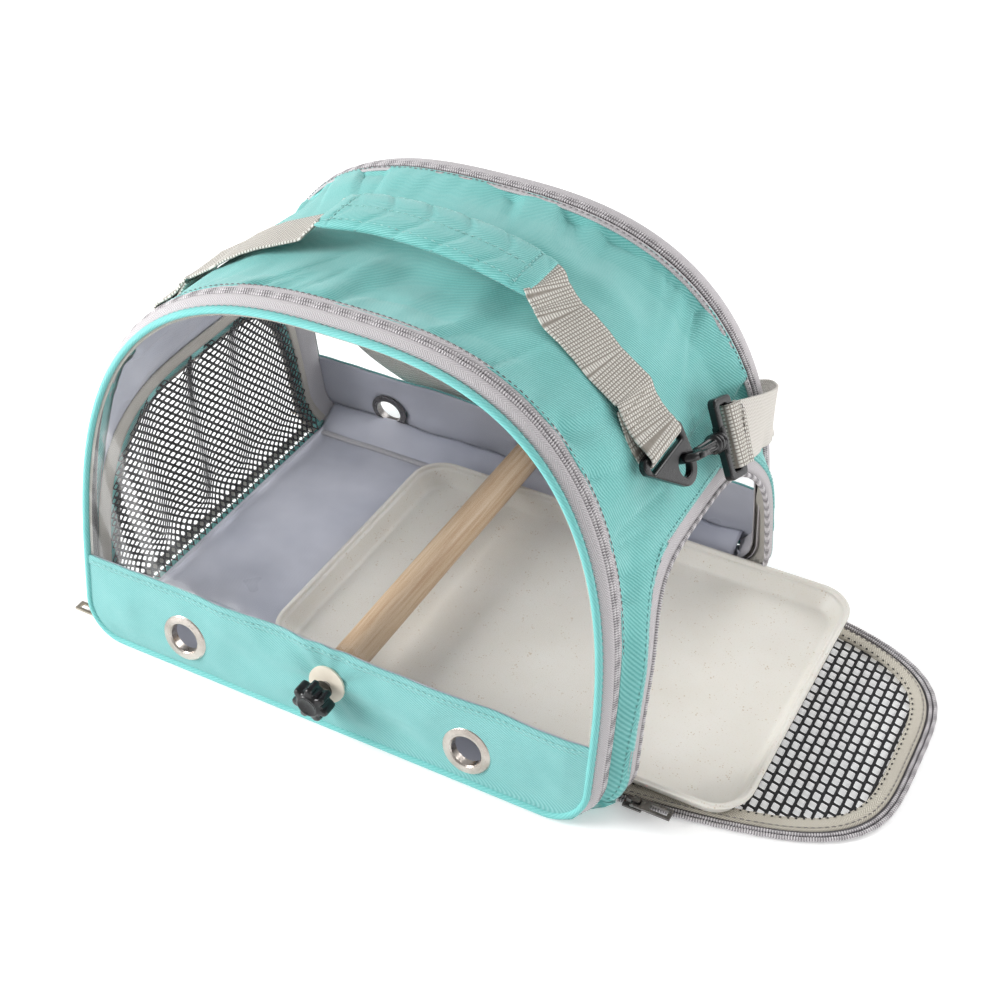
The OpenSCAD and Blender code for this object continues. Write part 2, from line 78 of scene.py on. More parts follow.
# %% Camera
cam_data = bpy.data.cameras.new("camera")
cam = bpy.data.objects.new("camera", cam_data)
bpy.context.scene.collection.objects.link(cam)
cam.location = (0.42411, -0.69868, 0.7233)
cam.rotation_euler = (math.radians(90 - 38.283), 0, math.radians(28.187))
cam_data.sensor_width = 36.0
cam_data.lens = 57.6
cam_data.clip_start, cam_data.clip_end = 0.02, 50
bpy.context.scene.camera = cam
print("lens:", round(cam_data.lens, 1), "mm")

# %% [markdown]
# ## Node helper
# A shader is a chain of nodes, and each node takes several lines to add by hand. One function adds any node
# with its settings, values and links. The others here are steps that use several nodes.


# %% Node helper
def node(tree, kind, *inputs, out=0, **values):
    """Adds a node and gives one of its outputs.

    Inputs come in order or by name. One that is a socket is linked, and any other is set. A name in small
    letters is a setting of the node, such as operation.
    """
    made = tree.nodes.new("ShaderNode" + kind)
    wanted = dict(enumerate(inputs))
    for key, value in values.items():
        if key.islower():
            setattr(made, key, value)
        else:
            wanted[key.replace("_", " ")] = value
    for place, value in wanted.items():
        if isinstance(value, bpy.types.NodeSocket):
            tree.links.new(value, made.inputs[place])
        elif value is not None:
            made.inputs[place].default_value = value
    return made.outputs[out] if len(made.outputs) else None


def hex_colour(text):
    """sRGB hex to the linear colour that shaders use."""
    rgb = [int(text[i:i + 2], 16) / 255 for i in (1, 3, 5)]
    return [c / 12.92 if c <= 0.04045 else ((c + 0.055) / 1.055) ** 2.4 for c in rgb] + [1.0]


def new_material(name):
    mat = bpy.data.materials.new(name)
    mat.use_nodes = True
    mat.node_tree.nodes.clear()
    return mat, mat.node_tree


def cloth_axes(t):
    """The UV map in millimetres, and its two directions."""
    uv = node(t, "UVMap", uv_map="mm")
    return uv, node(t, "SeparateXYZ", uv), node(t, "SeparateXYZ", uv, out=1)


def ridges(t, along, pitch):
    """Rounded threads side by side, one to each pitch in millimetres."""
    turned = node(t, "Math", along, 2 * math.pi / pitch, operation="MULTIPLY")
    return node(t, "Math", turned, operation="SINE")


def shaded(t, value, low, high, first, second, most=1.0):
    """Goes from the first colour to the second as a value rises from low to high. most is its full share."""
    share = node(t, "MapRange", value, low, high, 0.0, most)
    ends = [hex_colour(c) if isinstance(c, str) else c for c in (first, second)]
    return node(t, "Mix", share, *[None] * 5, *ends, data_type="RGBA", out=2)


def finish(t, height, distance, **shader):
    """Principled shader with a bump, its distance in metres."""
    bump = node(t, "Bump", Height=height, Distance=distance)
    node(t, "OutputMaterial", node(t, "BsdfPrincipled", Normal=bump, **shader))


# %% [markdown]
# ## Woven materials
# The bag is polyester cloth, coated and dyed turquoise, with grey woven tapes and coarse webbing. A picture
# of cloth could be laid on, but it would stretch at folds. So the threads are sine ridges, measured in
# millimetres along each piece, and a weave keeps its real size everywhere. Real threads are about 0.4 mm,
# too fine to show from here, so they are drawn two or three times as coarse.


# %% Woven materials
def cloth(name, base, dark, light, pitch=1.15, twill=0.6, rough=0.62, bump=0.00012, sheen=0.2):
    """Coated polyester, woven. The eye sees crossed threads, a slanted twill and a soft uneven dye."""
    mat, t = new_material(name)
    uv, u, v = cloth_axes(t)
    patch = node(t, "TexNoise", Vector=uv, Scale=0.035, Detail=4.0, Roughness=0.55)
    fine = node(t, "TexNoise", Vector=uv, Scale=1.1, Detail=2.0, Roughness=0.55)
    cross = node(t, "Math", ridges(t, u, pitch), ridges(t, v, pitch), operation="MULTIPLY")
    slant = ridges(t, node(t, "Math", u, 0.45, v, operation="MULTIPLY_ADD"), pitch * 1.7)
    slant = node(t, "Math", slant, twill, operation="MULTIPLY")
    height = node(t, "Math", cross, 1 - twill, slant, operation="MULTIPLY_ADD")
    dye = shaded(t, patch, 0.3, 0.7, base, light)
    thread = node(t, "Math", fine, 1.2, height, operation="MULTIPLY_ADD")
    lift = node(t, "Math", fine, 0.8, height, operation="MULTIPLY_ADD")
    finish(t, lift, bump, Base_Color=shaded(t, thread, -0.6, 1.7, dark, dye), Roughness=rough,
           Sheen_Weight=sheen, Sheen_Roughness=0.4, Specular_IOR_Level=0.45)
    return mat


def woven_tape(name, base, dark, pitch=1.6, chevron=6.0, bump=0.00012):
    """Polyester tape, woven in herringbone. The eye sees rows of small chevrons."""
    mat, t = new_material(name)
    uv, u, v = cloth_axes(t)
    fine = node(t, "TexNoise", Vector=uv, Scale=0.9, Detail=2.0, Roughness=0.55)
    patch = node(t, "TexNoise", Vector=uv, Scale=0.04, Detail=3.0, Roughness=0.55)
    fold = node(t, "Math", v, chevron / 2, operation="PINGPONG")
    height = ridges(t, node(t, "Math", fold, 1.1, u, operation="MULTIPLY_ADD"), pitch)
    tone = node(t, "Math", height, fine, operation="ADD")
    lift = node(t, "Math", height, patch, operation="ADD")
    finish(t, lift, bump, Base_Color=shaded(t, tone, -0.9, 1.8, dark, base), Roughness=0.8,
           Sheen_Weight=0.1, Specular_IOR_Level=0.3)
    return mat


def flat_webbing(name, base, dark, pitch=2.1, bump=0.0002):
    """Polypropylene webbing, woven flat. The eye sees ribs along it, with darker gaps between the threads."""
    mat, t = new_material(name)
    uv, u, v = cloth_axes(t)
    fine = node(t, "TexNoise", Vector=uv, Scale=1.3, Detail=2.0, Roughness=0.55)
    cross = node(t, "Math", ridges(t, v, pitch), ridges(t, u, pitch * 0.9), operation="MULTIPLY")
    rib = node(t, "Math", ridges(t, v, pitch * 2), operation="ABSOLUTE")
    height = node(t, "Math", rib, 0.5, cross, operation="MULTIPLY_ADD")
    tone = node(t, "Math", fine, 0.7, height, operation="MULTIPLY_ADD")
    finish(t, height, bump, Base_Color=shaded(t, tone, -0.5, 1.3, dark, base), Roughness=0.82,
           Sheen_Weight=0.1, Specular_IOR_Level=0.25)
    return mat


def basket_webbing(name, base, dark, pitch=3.0, bump=0.0002):
    """The same webbing in a basket weave. The eye sees pale floats and dark threads in turn."""
    mat, t = new_material(name)
    uv, u, v = cloth_axes(t)
    fine = node(t, "TexNoise", Vector=uv, Scale=0.8, Detail=3.0, Roughness=0.55)
    cross = node(t, "Math", ridges(t, v, pitch), ridges(t, u, pitch), operation="MINIMUM")
    strands = ridges(t, node(t, "Math", fine, 0.8, v, operation="MULTIPLY_ADD"), 0.6)
    height = node(t, "Math", strands, 0.12, cross, operation="MULTIPLY_ADD")
    tone = node(t, "Math", fine, 0.5, height, operation="MULTIPLY_ADD")
    finish(t, height, bump, Base_Color=shaded(t, tone, -0.75, 0.35, dark, base), Roughness=0.82,
           Sheen_Weight=0.1, Specular_IOR_Level=0.25)
    return mat


def nylon_coil(name, base, dark):
    """Nylon, drawn and wound. The turns are in the mesh, and the colour is darkened between them as painted
    shade.
    """
    mat, t = new_material(name)
    uv, u, v = cloth_axes(t)
    rib = ridges(t, u, COIL_PITCH)
    fine = node(t, "TexNoise", Vector=uv, Scale=0.5, Detail=2.0, Roughness=0.55)
    tone = node(t, "Math", rib, fine, operation="ADD")
    # The dark colour in the troughs between turns is painted shade.
    finish(t, rib, 0.00015, Base_Color=shaded(t, tone, -0.7, 1.5, dark, base), Roughness=0.45,
           Specular_IOR_Level=0.5)
    return mat


def coated_lining(name, base, dark):
    """Thin cloth with a film on it. The eye sees long soft highlights over a faint weave."""
    mat, t = new_material(name)
    uv, u, v = cloth_axes(t)
    waves = node(t, "TexNoise", Vector=uv, Scale=0.02, Detail=2.0, Roughness=0.55)
    patch = node(t, "TexNoise", Vector=uv, Scale=0.012, Detail=3.0, Roughness=0.55)
    cross = node(t, "Math", ridges(t, u, 1.3), ridges(t, v, 1.3), operation="MULTIPLY")
    faint = node(t, "Math", cross, 0.03, operation="MULTIPLY")
    height = node(t, "Math", waves, 4.0, faint, operation="MULTIPLY_ADD")
    rough = node(t, "MapRange", waves, 0.3, 0.7, 0.26, 0.42)
    finish(t, height, 0.001, Base_Color=shaded(t, patch, 0.3, 0.7, base, dark), Roughness=rough,
           Specular_IOR_Level=0.5)
    return mat


TEAL = cloth("turquoise_cloth", "#81C8C4", "#4AA19C", "#93D4D1", 0.95, 0.75, bump=0.00013, sheen=0.3)
# A greyer, darker copy of the turquoise cloth for the band and its hem; the difference is painted shade.
TEAL_BAND_PAINTED_SHADE = cloth("turquoise_band_painted_shade", "#85BDBC", "#59A4A1", "#91C6C5", 0.9, 0.75)
PIPING = cloth("turquoise_piping", "#80CAC7", "#56AFAB", "#8DD2D0", 0.95, 0.5)
THREAD = cloth("turquoise_thread", "#B4E8E4", "#86D2CC", "#C6F0ED", 0.6, 0.9)
DARK_THREAD = cloth("shaded_thread", "#79BEBC", "#58A3A1", "#88C9C7", 0.6, 0.9)
GREY_THREAD = cloth("grey_thread", "#8E888A", "#6E696B", "#A19C9E", 0.6, 0.9)
SEAM_THREAD = cloth("seam_thread", "#6A645E", "#4C4742", "#7A746D", 0.6, 0.9)
STRAP_THREAD = cloth("strap_thread", "#D2CCC0", "#A49D92", "#DDD8CE", 0.6, 0.9)
# Dark cloth that is painted shade: strips of it lie in the gaps under the zip coils and beside the doorway's
# folded edge.
GAP_SHADE = cloth("zip_gap_painted_shade", "#4B474B", "#343134", "#5A565A", 0.8)
NET = cloth("black_net_cord", "#242427", "#121214", "#35353A", 0.8, 0.2, rough=0.5, sheen=0.05)
TAPE = woven_tape("zip_tape_cloth", "#CFCBCD", "#A9A4A7")
TAUPE = woven_tape("flap_binding_cloth", "#DCD7CB", "#9F9787", 1.6, 4.6, bump=0.00008)
BINDING = woven_tape("binding_cloth", "#C9C5BD", "#A39E94", 1.3, 3.0)
SEAM = woven_tape("seam_tape_cloth", "#CFCDD0", "#B2B0B4", 1.2, 2.4)
COIL = nylon_coil("zip_coil_nylon", "#D8D4D6", "#716C70")
WEBBING = flat_webbing("webbing_cloth", "#DDD9D3", "#B5AFA6")
BASKET = basket_webbing("basket_webbing_cloth", "#DBD8D1", "#867F76", 2.2)
LINING = coated_lining("lining_cloth", "#C3C5CF", "#ACAFBB")
# The floor sheet is a lighter copy of the lining. The lift is a painted highlight for the broad reflection of
# the bright left window.
FLOOR_LINING_PAINTED_HIGHLIGHT = coated_lining("floor_lining_painted_highlight", "#CFD0DA", "#AEB1BE")
print("woven materials:", len(bpy.data.materials))

# %% [markdown]
# ## Hard materials
# The eyelets are plated steel, the hooks and knobs moulded black plastic, the tray ivory plastic filled with
# bran, the perch sanded beech, and the windows clear PVC film. Their patterns are small, so they come from
# noise in space or along the piece, in place of pictures.


# %% Hard materials
def plated_metal(name, base, dark, rough=0.24):
    """Steel, pressed and plated. The eye sees sharp highlights broken by fine wear, about 2 mm across."""
    mat, t = new_material(name)
    where = node(t, "TexCoord", out="Object")
    wear = node(t, "TexNoise", Vector=where, Scale=420.0, Detail=4.0, Roughness=0.55)
    broad = node(t, "TexNoise", Vector=where, Scale=60.0, Detail=3.0, Roughness=0.55)
    shine = node(t, "MapRange", wear, 0.3, 0.75, rough, rough + 0.14)
    finish(t, wear, 0.00002, Base_Color=shaded(t, broad, 0.3, 0.75, base, dark), Metallic=1.0,
           Roughness=shine)
    return mat


def moulded_plastic(name, base, light, rough=0.42):
    """Acetal or ABS from a mould. The eye sees an even surface with a faint grain and a soft shine."""
    mat, t = new_material(name)
    where = node(t, "TexCoord", out="Object")
    grain = node(t, "TexNoise", Vector=where, Scale=1500.0, Detail=2.0, Roughness=0.55)
    broad = node(t, "TexNoise", Vector=where, Scale=45.0, Detail=3.0, Roughness=0.55)
    shine = node(t, "MapRange", broad, 0.3, 0.7, rough - 0.06, rough + 0.1)
    finish(t, grain, 0.00003, Base_Color=shaded(t, broad, 0.35, 0.8, base, light), Roughness=shine,
           Specular_IOR_Level=0.5)
    return mat


def bran_plastic():
    """Ivory plastic filled with bran and moulded. The eye sees many brown specks of 1 or 2 mm."""
    mat, t = new_material("tray_plastic_look")
    where = node(t, "TexCoord", out="Object")
    broad = node(t, "TexNoise", Vector=where, Scale=18.0, Detail=3.0, Roughness=0.55)
    size = node(t, "TexNoise", Vector=where, Scale=120.0, Detail=1.0, Roughness=0.55)
    small = node(t, "TexNoise", Vector=where, Scale=900.0, Detail=1.0, Roughness=0.55)
    uneven = node(t, "TexNoise", Vector=where, Scale=260.0, Detail=3.0, Roughness=0.55)
    centre = node(t, "TexVoronoi", Vector=where, Scale=520.0, Randomness=1.0, feature="F1", out="Distance")
    reach = node(t, "Math", node(t, "Math", size, 0.40, operation="SUBTRACT"), 0.9, operation="MULTIPLY")
    speck = node(t, "Math", centre, reach, operation="LESS_THAN")
    pale = node(t, "Math", small, 0.63, operation="GREATER_THAN")
    tone = shaded(t, broad, 0.3, 0.7, "#D8D5CE", "#D1CDC4")
    tone = shaded(t, speck, 0.0, 1.0, tone, "#A98F6C", most=0.55)
    tone = shaded(t, pale, 0.0, 1.0, tone, "#C9BFAB", most=0.25)
    finish(t, uneven, 0.00004, Base_Color=tone, Roughness=0.46, Specular_IOR_Level=0.45,
           Subsurface_Weight=0.04, Subsurface_Scale=0.003)
    return mat


def sanded_beech():
    """Beech, turned and sanded. The eye sees long fine grain along the dowel and short darker flecks."""
    mat, t = new_material("beech_look")
    uv = node(t, "UVMap", uv_map="mm")
    along = node(t, "Mapping", Vector=uv, Scale=(0.012, 0.35, 1.0))
    short = node(t, "Mapping", Vector=uv, Scale=(0.35, 1.9, 1.0))
    grain = node(t, "TexNoise", Vector=along, Scale=1.0, Detail=6.0, Roughness=0.6, Distortion=0.6)
    flecks = node(t, "TexNoise", Vector=short, Scale=1.0, Detail=2.0)
    tone = shaded(t, grain, 0.35, 0.68, "#C9B296", "#AF9070")
    tone = shaded(t, flecks, 0.62, 0.74, tone, "#9C7148", most=0.4)
    height = node(t, "Math", grain, flecks, operation="ADD")
    finish(t, height, 0.00012, Base_Color=tone, Roughness=0.55, Specular_IOR_Level=0.35)
    return mat


def clear_pvc():
    """Calendered PVC film. Light passes straight through, and the eye sees only a little gloss on it."""
    mat, t = new_material("clear_film_look")
    uv = node(t, "UVMap", uv_map="mm")
    waves = node(t, "TexNoise", Vector=uv, Scale=0.02, Detail=2.0, Roughness=0.55)
    bump = node(t, "Bump", Height=waves, Distance=0.003, Strength=0.35)
    clear = node(t, "BsdfTransparent", Color=(0.985, 0.988, 0.99, 1))
    gloss = node(t, "BsdfGlossy", Roughness=0.05, Color=(1, 1, 1, 1), Normal=bump)
    edge = node(t, "Fresnel", IOR=1.3, Normal=bump)
    share = node(t, "Math", edge, 0.15, operation="MULTIPLY")
    node(t, "OutputMaterial", node(t, "MixShader", share, clear, gloss))
    return mat


NICKEL = plated_metal("nickel_metal", "#D6CEC6", "#A89F96")
GUNMETAL = plated_metal("dark_nickel_metal", "#8D8A88", "#5E5B5A")
BRONZE = plated_metal("pull_tab_metal", "#C9C1B2", "#958B79", rough=0.3)
STEEL = plated_metal("screw_metal", "#A9A9AB", "#848486", rough=0.35)
BLACK = moulded_plastic("black_plastic_look", "#0C0C0E", "#161618", rough=0.25)
CREAM = moulded_plastic("washer_look", "#E9E1D2", "#D9CFBC")
BOARD = moulded_plastic("board_look", "#3F4145", "#4A4C50", rough=0.7)
TRAY, WOOD, FILM = bran_plastic(), sanded_beech(), clear_pvc()
print("materials:", len(bpy.data.materials))

# %% [markdown]
# ## Mesh helpers
# A sewn piece could be modelled by hand or grown from a solid, but its edges have to stay on the seams. So
# each surface is a grid of points in millimetres that a formula places. Its UV map holds the distance along
# the cloth, also in millimetres, which is what the weaves are drawn with.


# %% Mesh helpers
SLOTS = {
    "turquoise_fabric": (TEAL, TEAL_BAND_PAINTED_SHADE, PIPING, THREAD, DARK_THREAD),
    "zip_tape": (TAPE, COIL, GAP_SHADE),
    "grey_binding": (BINDING, TAUPE, SEAM, GREY_THREAD),
    "grey_lining": (LINING, FLOOR_LINING_PAINTED_HIGHLIGHT),
    "webbing": (WEBBING, BASKET, SEAM_THREAD, STRAP_THREAD),
    "black_net": (NET,), "black_plastic": (BLACK,), "clear_film": (FILM,),
    "tray_plastic": (TRAY,), "beech": (WOOD,),
}
SLOT_OF = {mat.name: slot for slot, mats in SLOTS.items() for mat in mats}


def add_mesh(name, verts, faces, mat, body, uvs, replaces=(), slot=None, solid=False):
    """Makes a piece from points in millimetres and lets it ride on a body.

    A slot is worked out from its material, unless another is given, but nothing uses it. A solid has its
    faces turned outwards.
    """
    slot = slot or SLOT_OF[mat.name]
    mesh = bpy.data.meshes.new(name)
    mesh.from_pydata([tuple(p * 0.001 for p in v) for v in verts], [], faces)
    layer = mesh.uv_layers.new(name="mm")
    layer.data.foreach_set("uv", [c for face in uvs for uv in face for c in uv])
    for poly in mesh.polygons:
        poly.use_smooth = True
    mesh.materials.append(mat)
    mesh.validate()
    if solid:
        work = bmesh.new()
        work.from_mesh(mesh)
        bmesh.ops.recalc_face_normals(work, faces=work.faces)
        work.to_mesh(mesh)
        work.free()
    obj = bpy.data.objects.new(name, mesh)
    bpy.context.scene.collection.objects.link(obj)
    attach(obj, body)
    if replaces:
        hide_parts(*replaces)
    return obj


def steps_along(points):
    """Distance along a row of points."""
    gaps = np.linalg.norm(np.diff(points, axis=0), axis=1)
    return np.concatenate([[0], np.cumsum(gaps)])


def grid_faces(pts, wrap_u=False, wrap_v=False, flip=False, keep=None):
    """Faces and UVs of a grid of points, pts[u][v]."""
    nu, nv = pts.shape[:2]
    su = steps_along(np.concatenate([pts[:, nv // 2], pts[:1, nv // 2]]))
    sv = steps_along(np.concatenate([pts[nu // 2], pts[nu // 2, :1]]))
    faces, uvs = [], []
    for i in range(nu if wrap_u else nu - 1):
        for j in range(nv if wrap_v else nv - 1):
            if keep is not None and not keep[i, j]:
                continue
            i2, j2 = (i + 1) % nu, (j + 1) % nv
            quad = [i * nv + j, i2 * nv + j, i2 * nv + j2, i * nv + j2]
            at = [(su[i], sv[j]), (su[i + 1], sv[j]), (su[i + 1], sv[j + 1]), (su[i], sv[j + 1])]
            if flip:
                quad, at = quad[::-1], at[::-1]
            faces.append(quad)
            uvs.append(at)
    return faces, uvs


def surface(name, pts, mat, body, wrap_u=False, wrap_v=False, flip=False, keep=None, **rest):
    pts = np.asarray(pts, float)
    faces, uvs = grid_faces(pts, wrap_u, wrap_v, flip, keep)
    return add_mesh(name, pts.reshape(-1, 3), faces, mat, body, uvs, **rest)


def solid_skin(name, rings, mat, body, across=(0, 1), **rest):
    """Closed skin over rings of points, with a flat face on the first and the last."""
    count, size = rings.shape[:2]
    faces, uvs = grid_faces(rings, wrap_v=True)
    for ring in (0, count - 1):
        faces.append([ring * size + k for k in range(size)])
        uvs.append([(p[across[0]], p[across[1]]) for p in rings[ring]])
    return add_mesh(name, rings.reshape(-1, 3), faces, mat, body, uvs, solid=True, **rest)


def thicken(obj, mm, offset=-1.0):
    mod = obj.modifiers.new("thickness", "SOLIDIFY")
    mod.thickness, mod.offset = mm * 0.001, offset
    mod.use_even_offset = True
    return obj


def resample(points, count, closed=False):
    """Points at even spacing along a line."""
    points = np.asarray(points, float)
    if closed:
        points = np.concatenate([points, points[:1]])
    s = steps_along(points)
    at = np.linspace(0, s[-1], count, endpoint=not closed)
    return np.stack([np.interp(at, s, points[:, k]) for k in range(points.shape[1])], axis=1)


def directions(points, closed=False):
    """Unit tangents of a line of points."""
    if closed:
        d = np.roll(points, -1, axis=0) - np.roll(points, 1, axis=0)
    else:
        d = np.gradient(points, axis=0)
    return d / np.linalg.norm(d, axis=1, keepdims=True)


def sweep(name, path, across, out, profile, mat, body, closed=False, **rest):
    """Sweeps a profile of (across, out) distances along a path.

    Each direction is given once, or at every point. The profile may change along the path too.
    """
    across, out = (np.broadcast_to(np.asarray(d, float), path.shape) for d in (across, out))
    profile = np.asarray(profile, float)
    if profile.ndim == 2:
        profile = np.repeat(profile[None], len(path), axis=0)
    pts = path[:, None] + profile[:, :, :1] * across[:, None] + profile[:, :, 1:] * out[:, None]
    count, size = pts.shape[:2]
    faces, uvs = grid_faces(pts, closed, True)
    if not closed:
        faces += [list(range(size))[::-1], [(count - 1) * size + k for k in range(size)]]
        uvs += [[tuple(p) for p in profile[0]], [tuple(p) for p in profile[-1]]]
    return add_mesh(name, pts.reshape(-1, 3), faces, mat, body, uvs, **rest)


def round_rect(w, h, r, steps):
    """Rounded rectangle profile, anticlockwise."""
    pts = []
    for cx, cy, start in ((w / 2 - r, h / 2 - r, 0), (-w / 2 + r, h / 2 - r, 90),
                          (-w / 2 + r, -h / 2 + r, 180), (w / 2 - r, -h / 2 + r, 270)):
        for k in range(steps + 1):
            a = math.radians(start + 90 * k / steps)
            pts.append((cx + r * math.cos(a), cy + r * math.sin(a)))
    return pts


def circle(r, count):
    angles = [2 * math.pi * k / count for k in range(count)]
    return [(r * math.cos(a), r * math.sin(a)) for a in angles]


def ripple(x, y, z, scale, seed=0.0):
    """Smooth repeatable noise from -1 to 1, scale in millimetres."""
    return noise.noise(Vector((x / scale + seed * 7.31, y / scale - seed * 3.17, z / scale + seed)))


# %% [markdown]
# ## Outlines
# The arch, the end openings and the soft forms between them are formulas that cloth, zips and nets share.
# One formula for each line is why a tape ends exactly where the cloth begins.


# %% Outlines
def arch_half(z, g):
    """Half width of the bag at height z, grown by g."""
    a, b = PANEL_W / 2 + g, PANEL_H + g - ARCH_START
    if z <= ARCH_START:
        return a
    return a * max(1 - ((z - ARCH_START) / b) ** ARCH_POWER, 0) ** (1 / ARCH_POWER)


def bag_line(g, base, count):
    """The bag's outline in x and z, from the middle of the bottom round the right side and over the top."""
    a, b, r = PANEL_W / 2 + g, PANEL_H + g - ARCH_START, CORNER_R + g
    pts = [(x, base) for x in np.linspace(0, a - r, 40)[:-1]]
    for deg in np.linspace(270, 360, 40):
        pts.append((a - r + r * math.cos(math.radians(deg)), base + r + r * math.sin(math.radians(deg))))
    pts += [(a, z) for z in np.linspace(base + r, ARCH_START, 12)[1:-1]]
    for deg in np.linspace(0, 90, 240):
        c, s = math.cos(math.radians(deg)), math.sin(math.radians(deg))
        pts.append((a * max(c, 0) ** (2 / ARCH_POWER), ARCH_START + b * s ** (2 / ARCH_POWER)))
    pts = np.array(pts)
    left = pts[::-1].copy()
    left[:, 0] *= -1
    return resample(np.concatenate([pts, left[1:-1]]), count, closed=True)


def upper_part(line, low):
    """The open part of a bag outline above a height, from the right to the left."""
    keep = np.where(line[:, 1] >= low)[0]
    return line[keep[0]:keep[-1] + 1]


def outward(line, closed=False):
    d = directions(line, closed)
    return np.stack([d[:, 1], -d[:, 0]], axis=1)


def front_y(t, z):
    return -BASE_D / 2 + t + z * SLOPE


def seam_frame(side, low=None):
    """Path, outward and depth directions along a panel's edge, all round or only above a height.

    side is 1 at the front and -1 at the rear.
    """
    line = bag_line(0.0, RIM_BASE, 420)
    if low is not None:
        line = upper_part(line, low)
    n = outward(line, low is None)
    path = np.stack([line[:, 0], front_y(0, line[:, 1]), line[:, 1]], axis=1)
    out = np.stack([n[:, 0], n[:, 1] * SLOPE, n[:, 1]], axis=1)
    depth = np.repeat([[0.0, 1.0, 0.0]], len(path), axis=0)
    for part in (path, out, depth):
        part[:, 1] *= side
    return path, out, depth


def end_line(g, count=160, top=END_TOP):
    """Outline of an end opening in y and z, from the rear corner over the top to the front corner."""
    pts = []
    for deg in np.linspace(0, 180, 400):
        c, s = math.cos(math.radians(deg)), math.sin(math.radians(deg))
        p0 = math.copysign(abs(c) ** (2 / END_POWER), c)
        p1 = max(s, 0) ** (2 / END_POWER)
        pts.append(((END_HALF + g) * p0 * (1 - END_TAPER * p1), FLOOR_Z + (top + g - FLOOR_Z) * p1))
    return resample(pts, count)


def shell_sag(y, z):
    """How far the cloth between the two zips sinks below the straight line between them."""
    width = BASE_D / 2 - 18 - z * SLOPE
    v = min(abs(y) / width, 1.0)
    return 2.6 * (1 - v ** 2.4)


def soft_step(value, low, high):
    f = min(max((value - low) / (high - low), 0), 1)
    return f * f * (3 - 2 * f)


def end_flare(x, y, z):
    """How far the cloth round the right doorway is pushed outwards by the tray."""
    edge = BASE_D / 2 - 17.5 - z * SLOPE
    q = min(max((z - FLOOR_Z) / (DOOR_TOP - FLOOR_Z), 0), 1)
    door = END_HALF * (1 - q ** END_POWER) ** (1 / END_POWER) * (1 - END_TAPER * q)
    near = soft_step((edge - abs(y)) / max(edge - door, 2), -0.15, 1.0)
    return FLARE * near * soft_step(z, 172, 92) * soft_step(z, -7, 8) * soft_step(x, 138, 168)


# %% [markdown]
# ## Shoulder strap
# Flat webbing runs from the right eye, round the rear of the bag with a sag, to the left eye, and is doubled
# round each eye. It could be simulated, but its ends have to meet both eyes. So a thin section is swept along
# the route of the solids, and its length is measured.

# %% Shoulder strap
ROUTE = [
    (184, 48.8, 164.8), (186.8, 62, 160.2), (188, 79, 153.4), (186.6, 96, 146.2), (184.8, 111.5, 138.4),
    (180.6, 126.4, 131), (174, 136, 126), (158, 140, 117), (120, 141, 96), (70, 141, 74), (20, 141, 62),
    (-30, 141, 59), (-80, 141, 66), (-126, 141, 84), (-158, 140, 108), (-174, 136, 122), (-184, 126, 131),
    (-188, 110, 138), (-188, 92, 147), (-188.2, 77, 154), (-187, 62, 160.2), (-184, 48.8, 164.8),
]


def smooth_route(points, count):
    """The smooth curve through the points that the solids use."""
    points = np.asarray(points, float)
    out = []
    for u in np.linspace(0, len(points) - 1, count):
        i = min(int(u), len(points) - 2)
        f = u - i
        a, b = points[max(i - 1, 0)], points[i]
        c, d = points[i + 1], points[min(i + 2, len(points) - 1)]
        out.append(0.5 * (2 * b + (c - a) * f + (2 * a - 5 * b + 4 * c - d) * f * f
                          + (3 * b - a - 3 * c + d) * f ** 3))
    return np.array(out)


def webbing_section():
    """Thin strap section with softly rounded edges and a slight thickening along both edges."""
    half = WEB_W / 2
    top = [(x, WEB_T / 2 + 0.12 * (abs(x) / half) ** 6) for x in np.linspace(-half + 0.5, half - 0.5, 14)]
    right = [(half - 0.1, WEB_T * 0.3), (half, 0), (half - 0.1, -WEB_T * 0.3)]
    bottom = [(x, -y) for x, y in top[::-1]]
    left = [(-x, -y) for x, y in right]
    return top + right + bottom + left


def strap_frames(path, roll):
    """Directions across the strap and off its face. It rolls over near both ends, by roll degrees."""
    t = directions(path)
    up = np.array([0, 0, 1.0]) - t[:, 2:3] * t
    up /= np.linalg.norm(up, axis=1, keepdims=True)
    side = np.cross(t, up)
    n = len(path) - 1
    near_end = n * 0.13
    turn = [roll * max(0, 1 - i / near_end, 1 - (n - i) / near_end) for i in range(n + 1)]
    turn = np.radians(turn)[:, None]
    wide = up * np.cos(turn) + side * np.sin(turn)
    return wide, np.cross(t, wide)


strap_path = smooth_route(ROUTE, 220)
wide, face = strap_frames(strap_path, -30.0)
last = len(strap_path) - 1
for i, p in enumerate(strap_path):
    wave = 0.9 * ripple(p[0], p[1], p[2], 60, 3.0)
    strap_path[i] = p + face[i] * wave * min(i, last - i, 30) / 30
strap = sweep("shoulder_strap_webbing", strap_path, wide, face, webbing_section(), WEBBING, "carrier",
              replaces=("shoulder_strap",))
print("strap along its route:", round(steps_along(strap_path)[-1]), "mm")

# %% [markdown]
# ## Barrel of the bag
# One sheet of cloth goes round the arch, over the bottom and between the two zips, and is cut out at both
# ends. A thinner lining follows it inside. A cloth simulation would make folds of its own, somewhere else
# at every change. So the sag and the puckers next to the seams come from smooth noise, which stays put, and
# the same folds carry the lining.


# %% Barrel
CLOTH_ROUND = 1070.0    # nominal length round the arch, the same in both sheets, so that their folds agree
SHELL_EDGE = 17.0       # depth at which the shell meets the zips
END_ZONE = 110.0        # both ends of the bag lie beyond this half width
DOOR_EDGE, WINDOW_EDGE = end_line(0.0, top=DOOR_TOP), end_line(0.0)


def door_calm(x, y, z):
    """0 at the edge of an end opening, where the cloth is sewn down, rising to 1 about 20 mm away from it."""
    if abs(x) < END_ZONE or z > END_TOP + 34:
        return 1.0
    edge = DOOR_EDGE if x > 0 else WINDOW_EDGE
    return soft_step(float(np.hypot(edge[:, 0] - y, edge[:, 1] - z).min()), 5, 22)


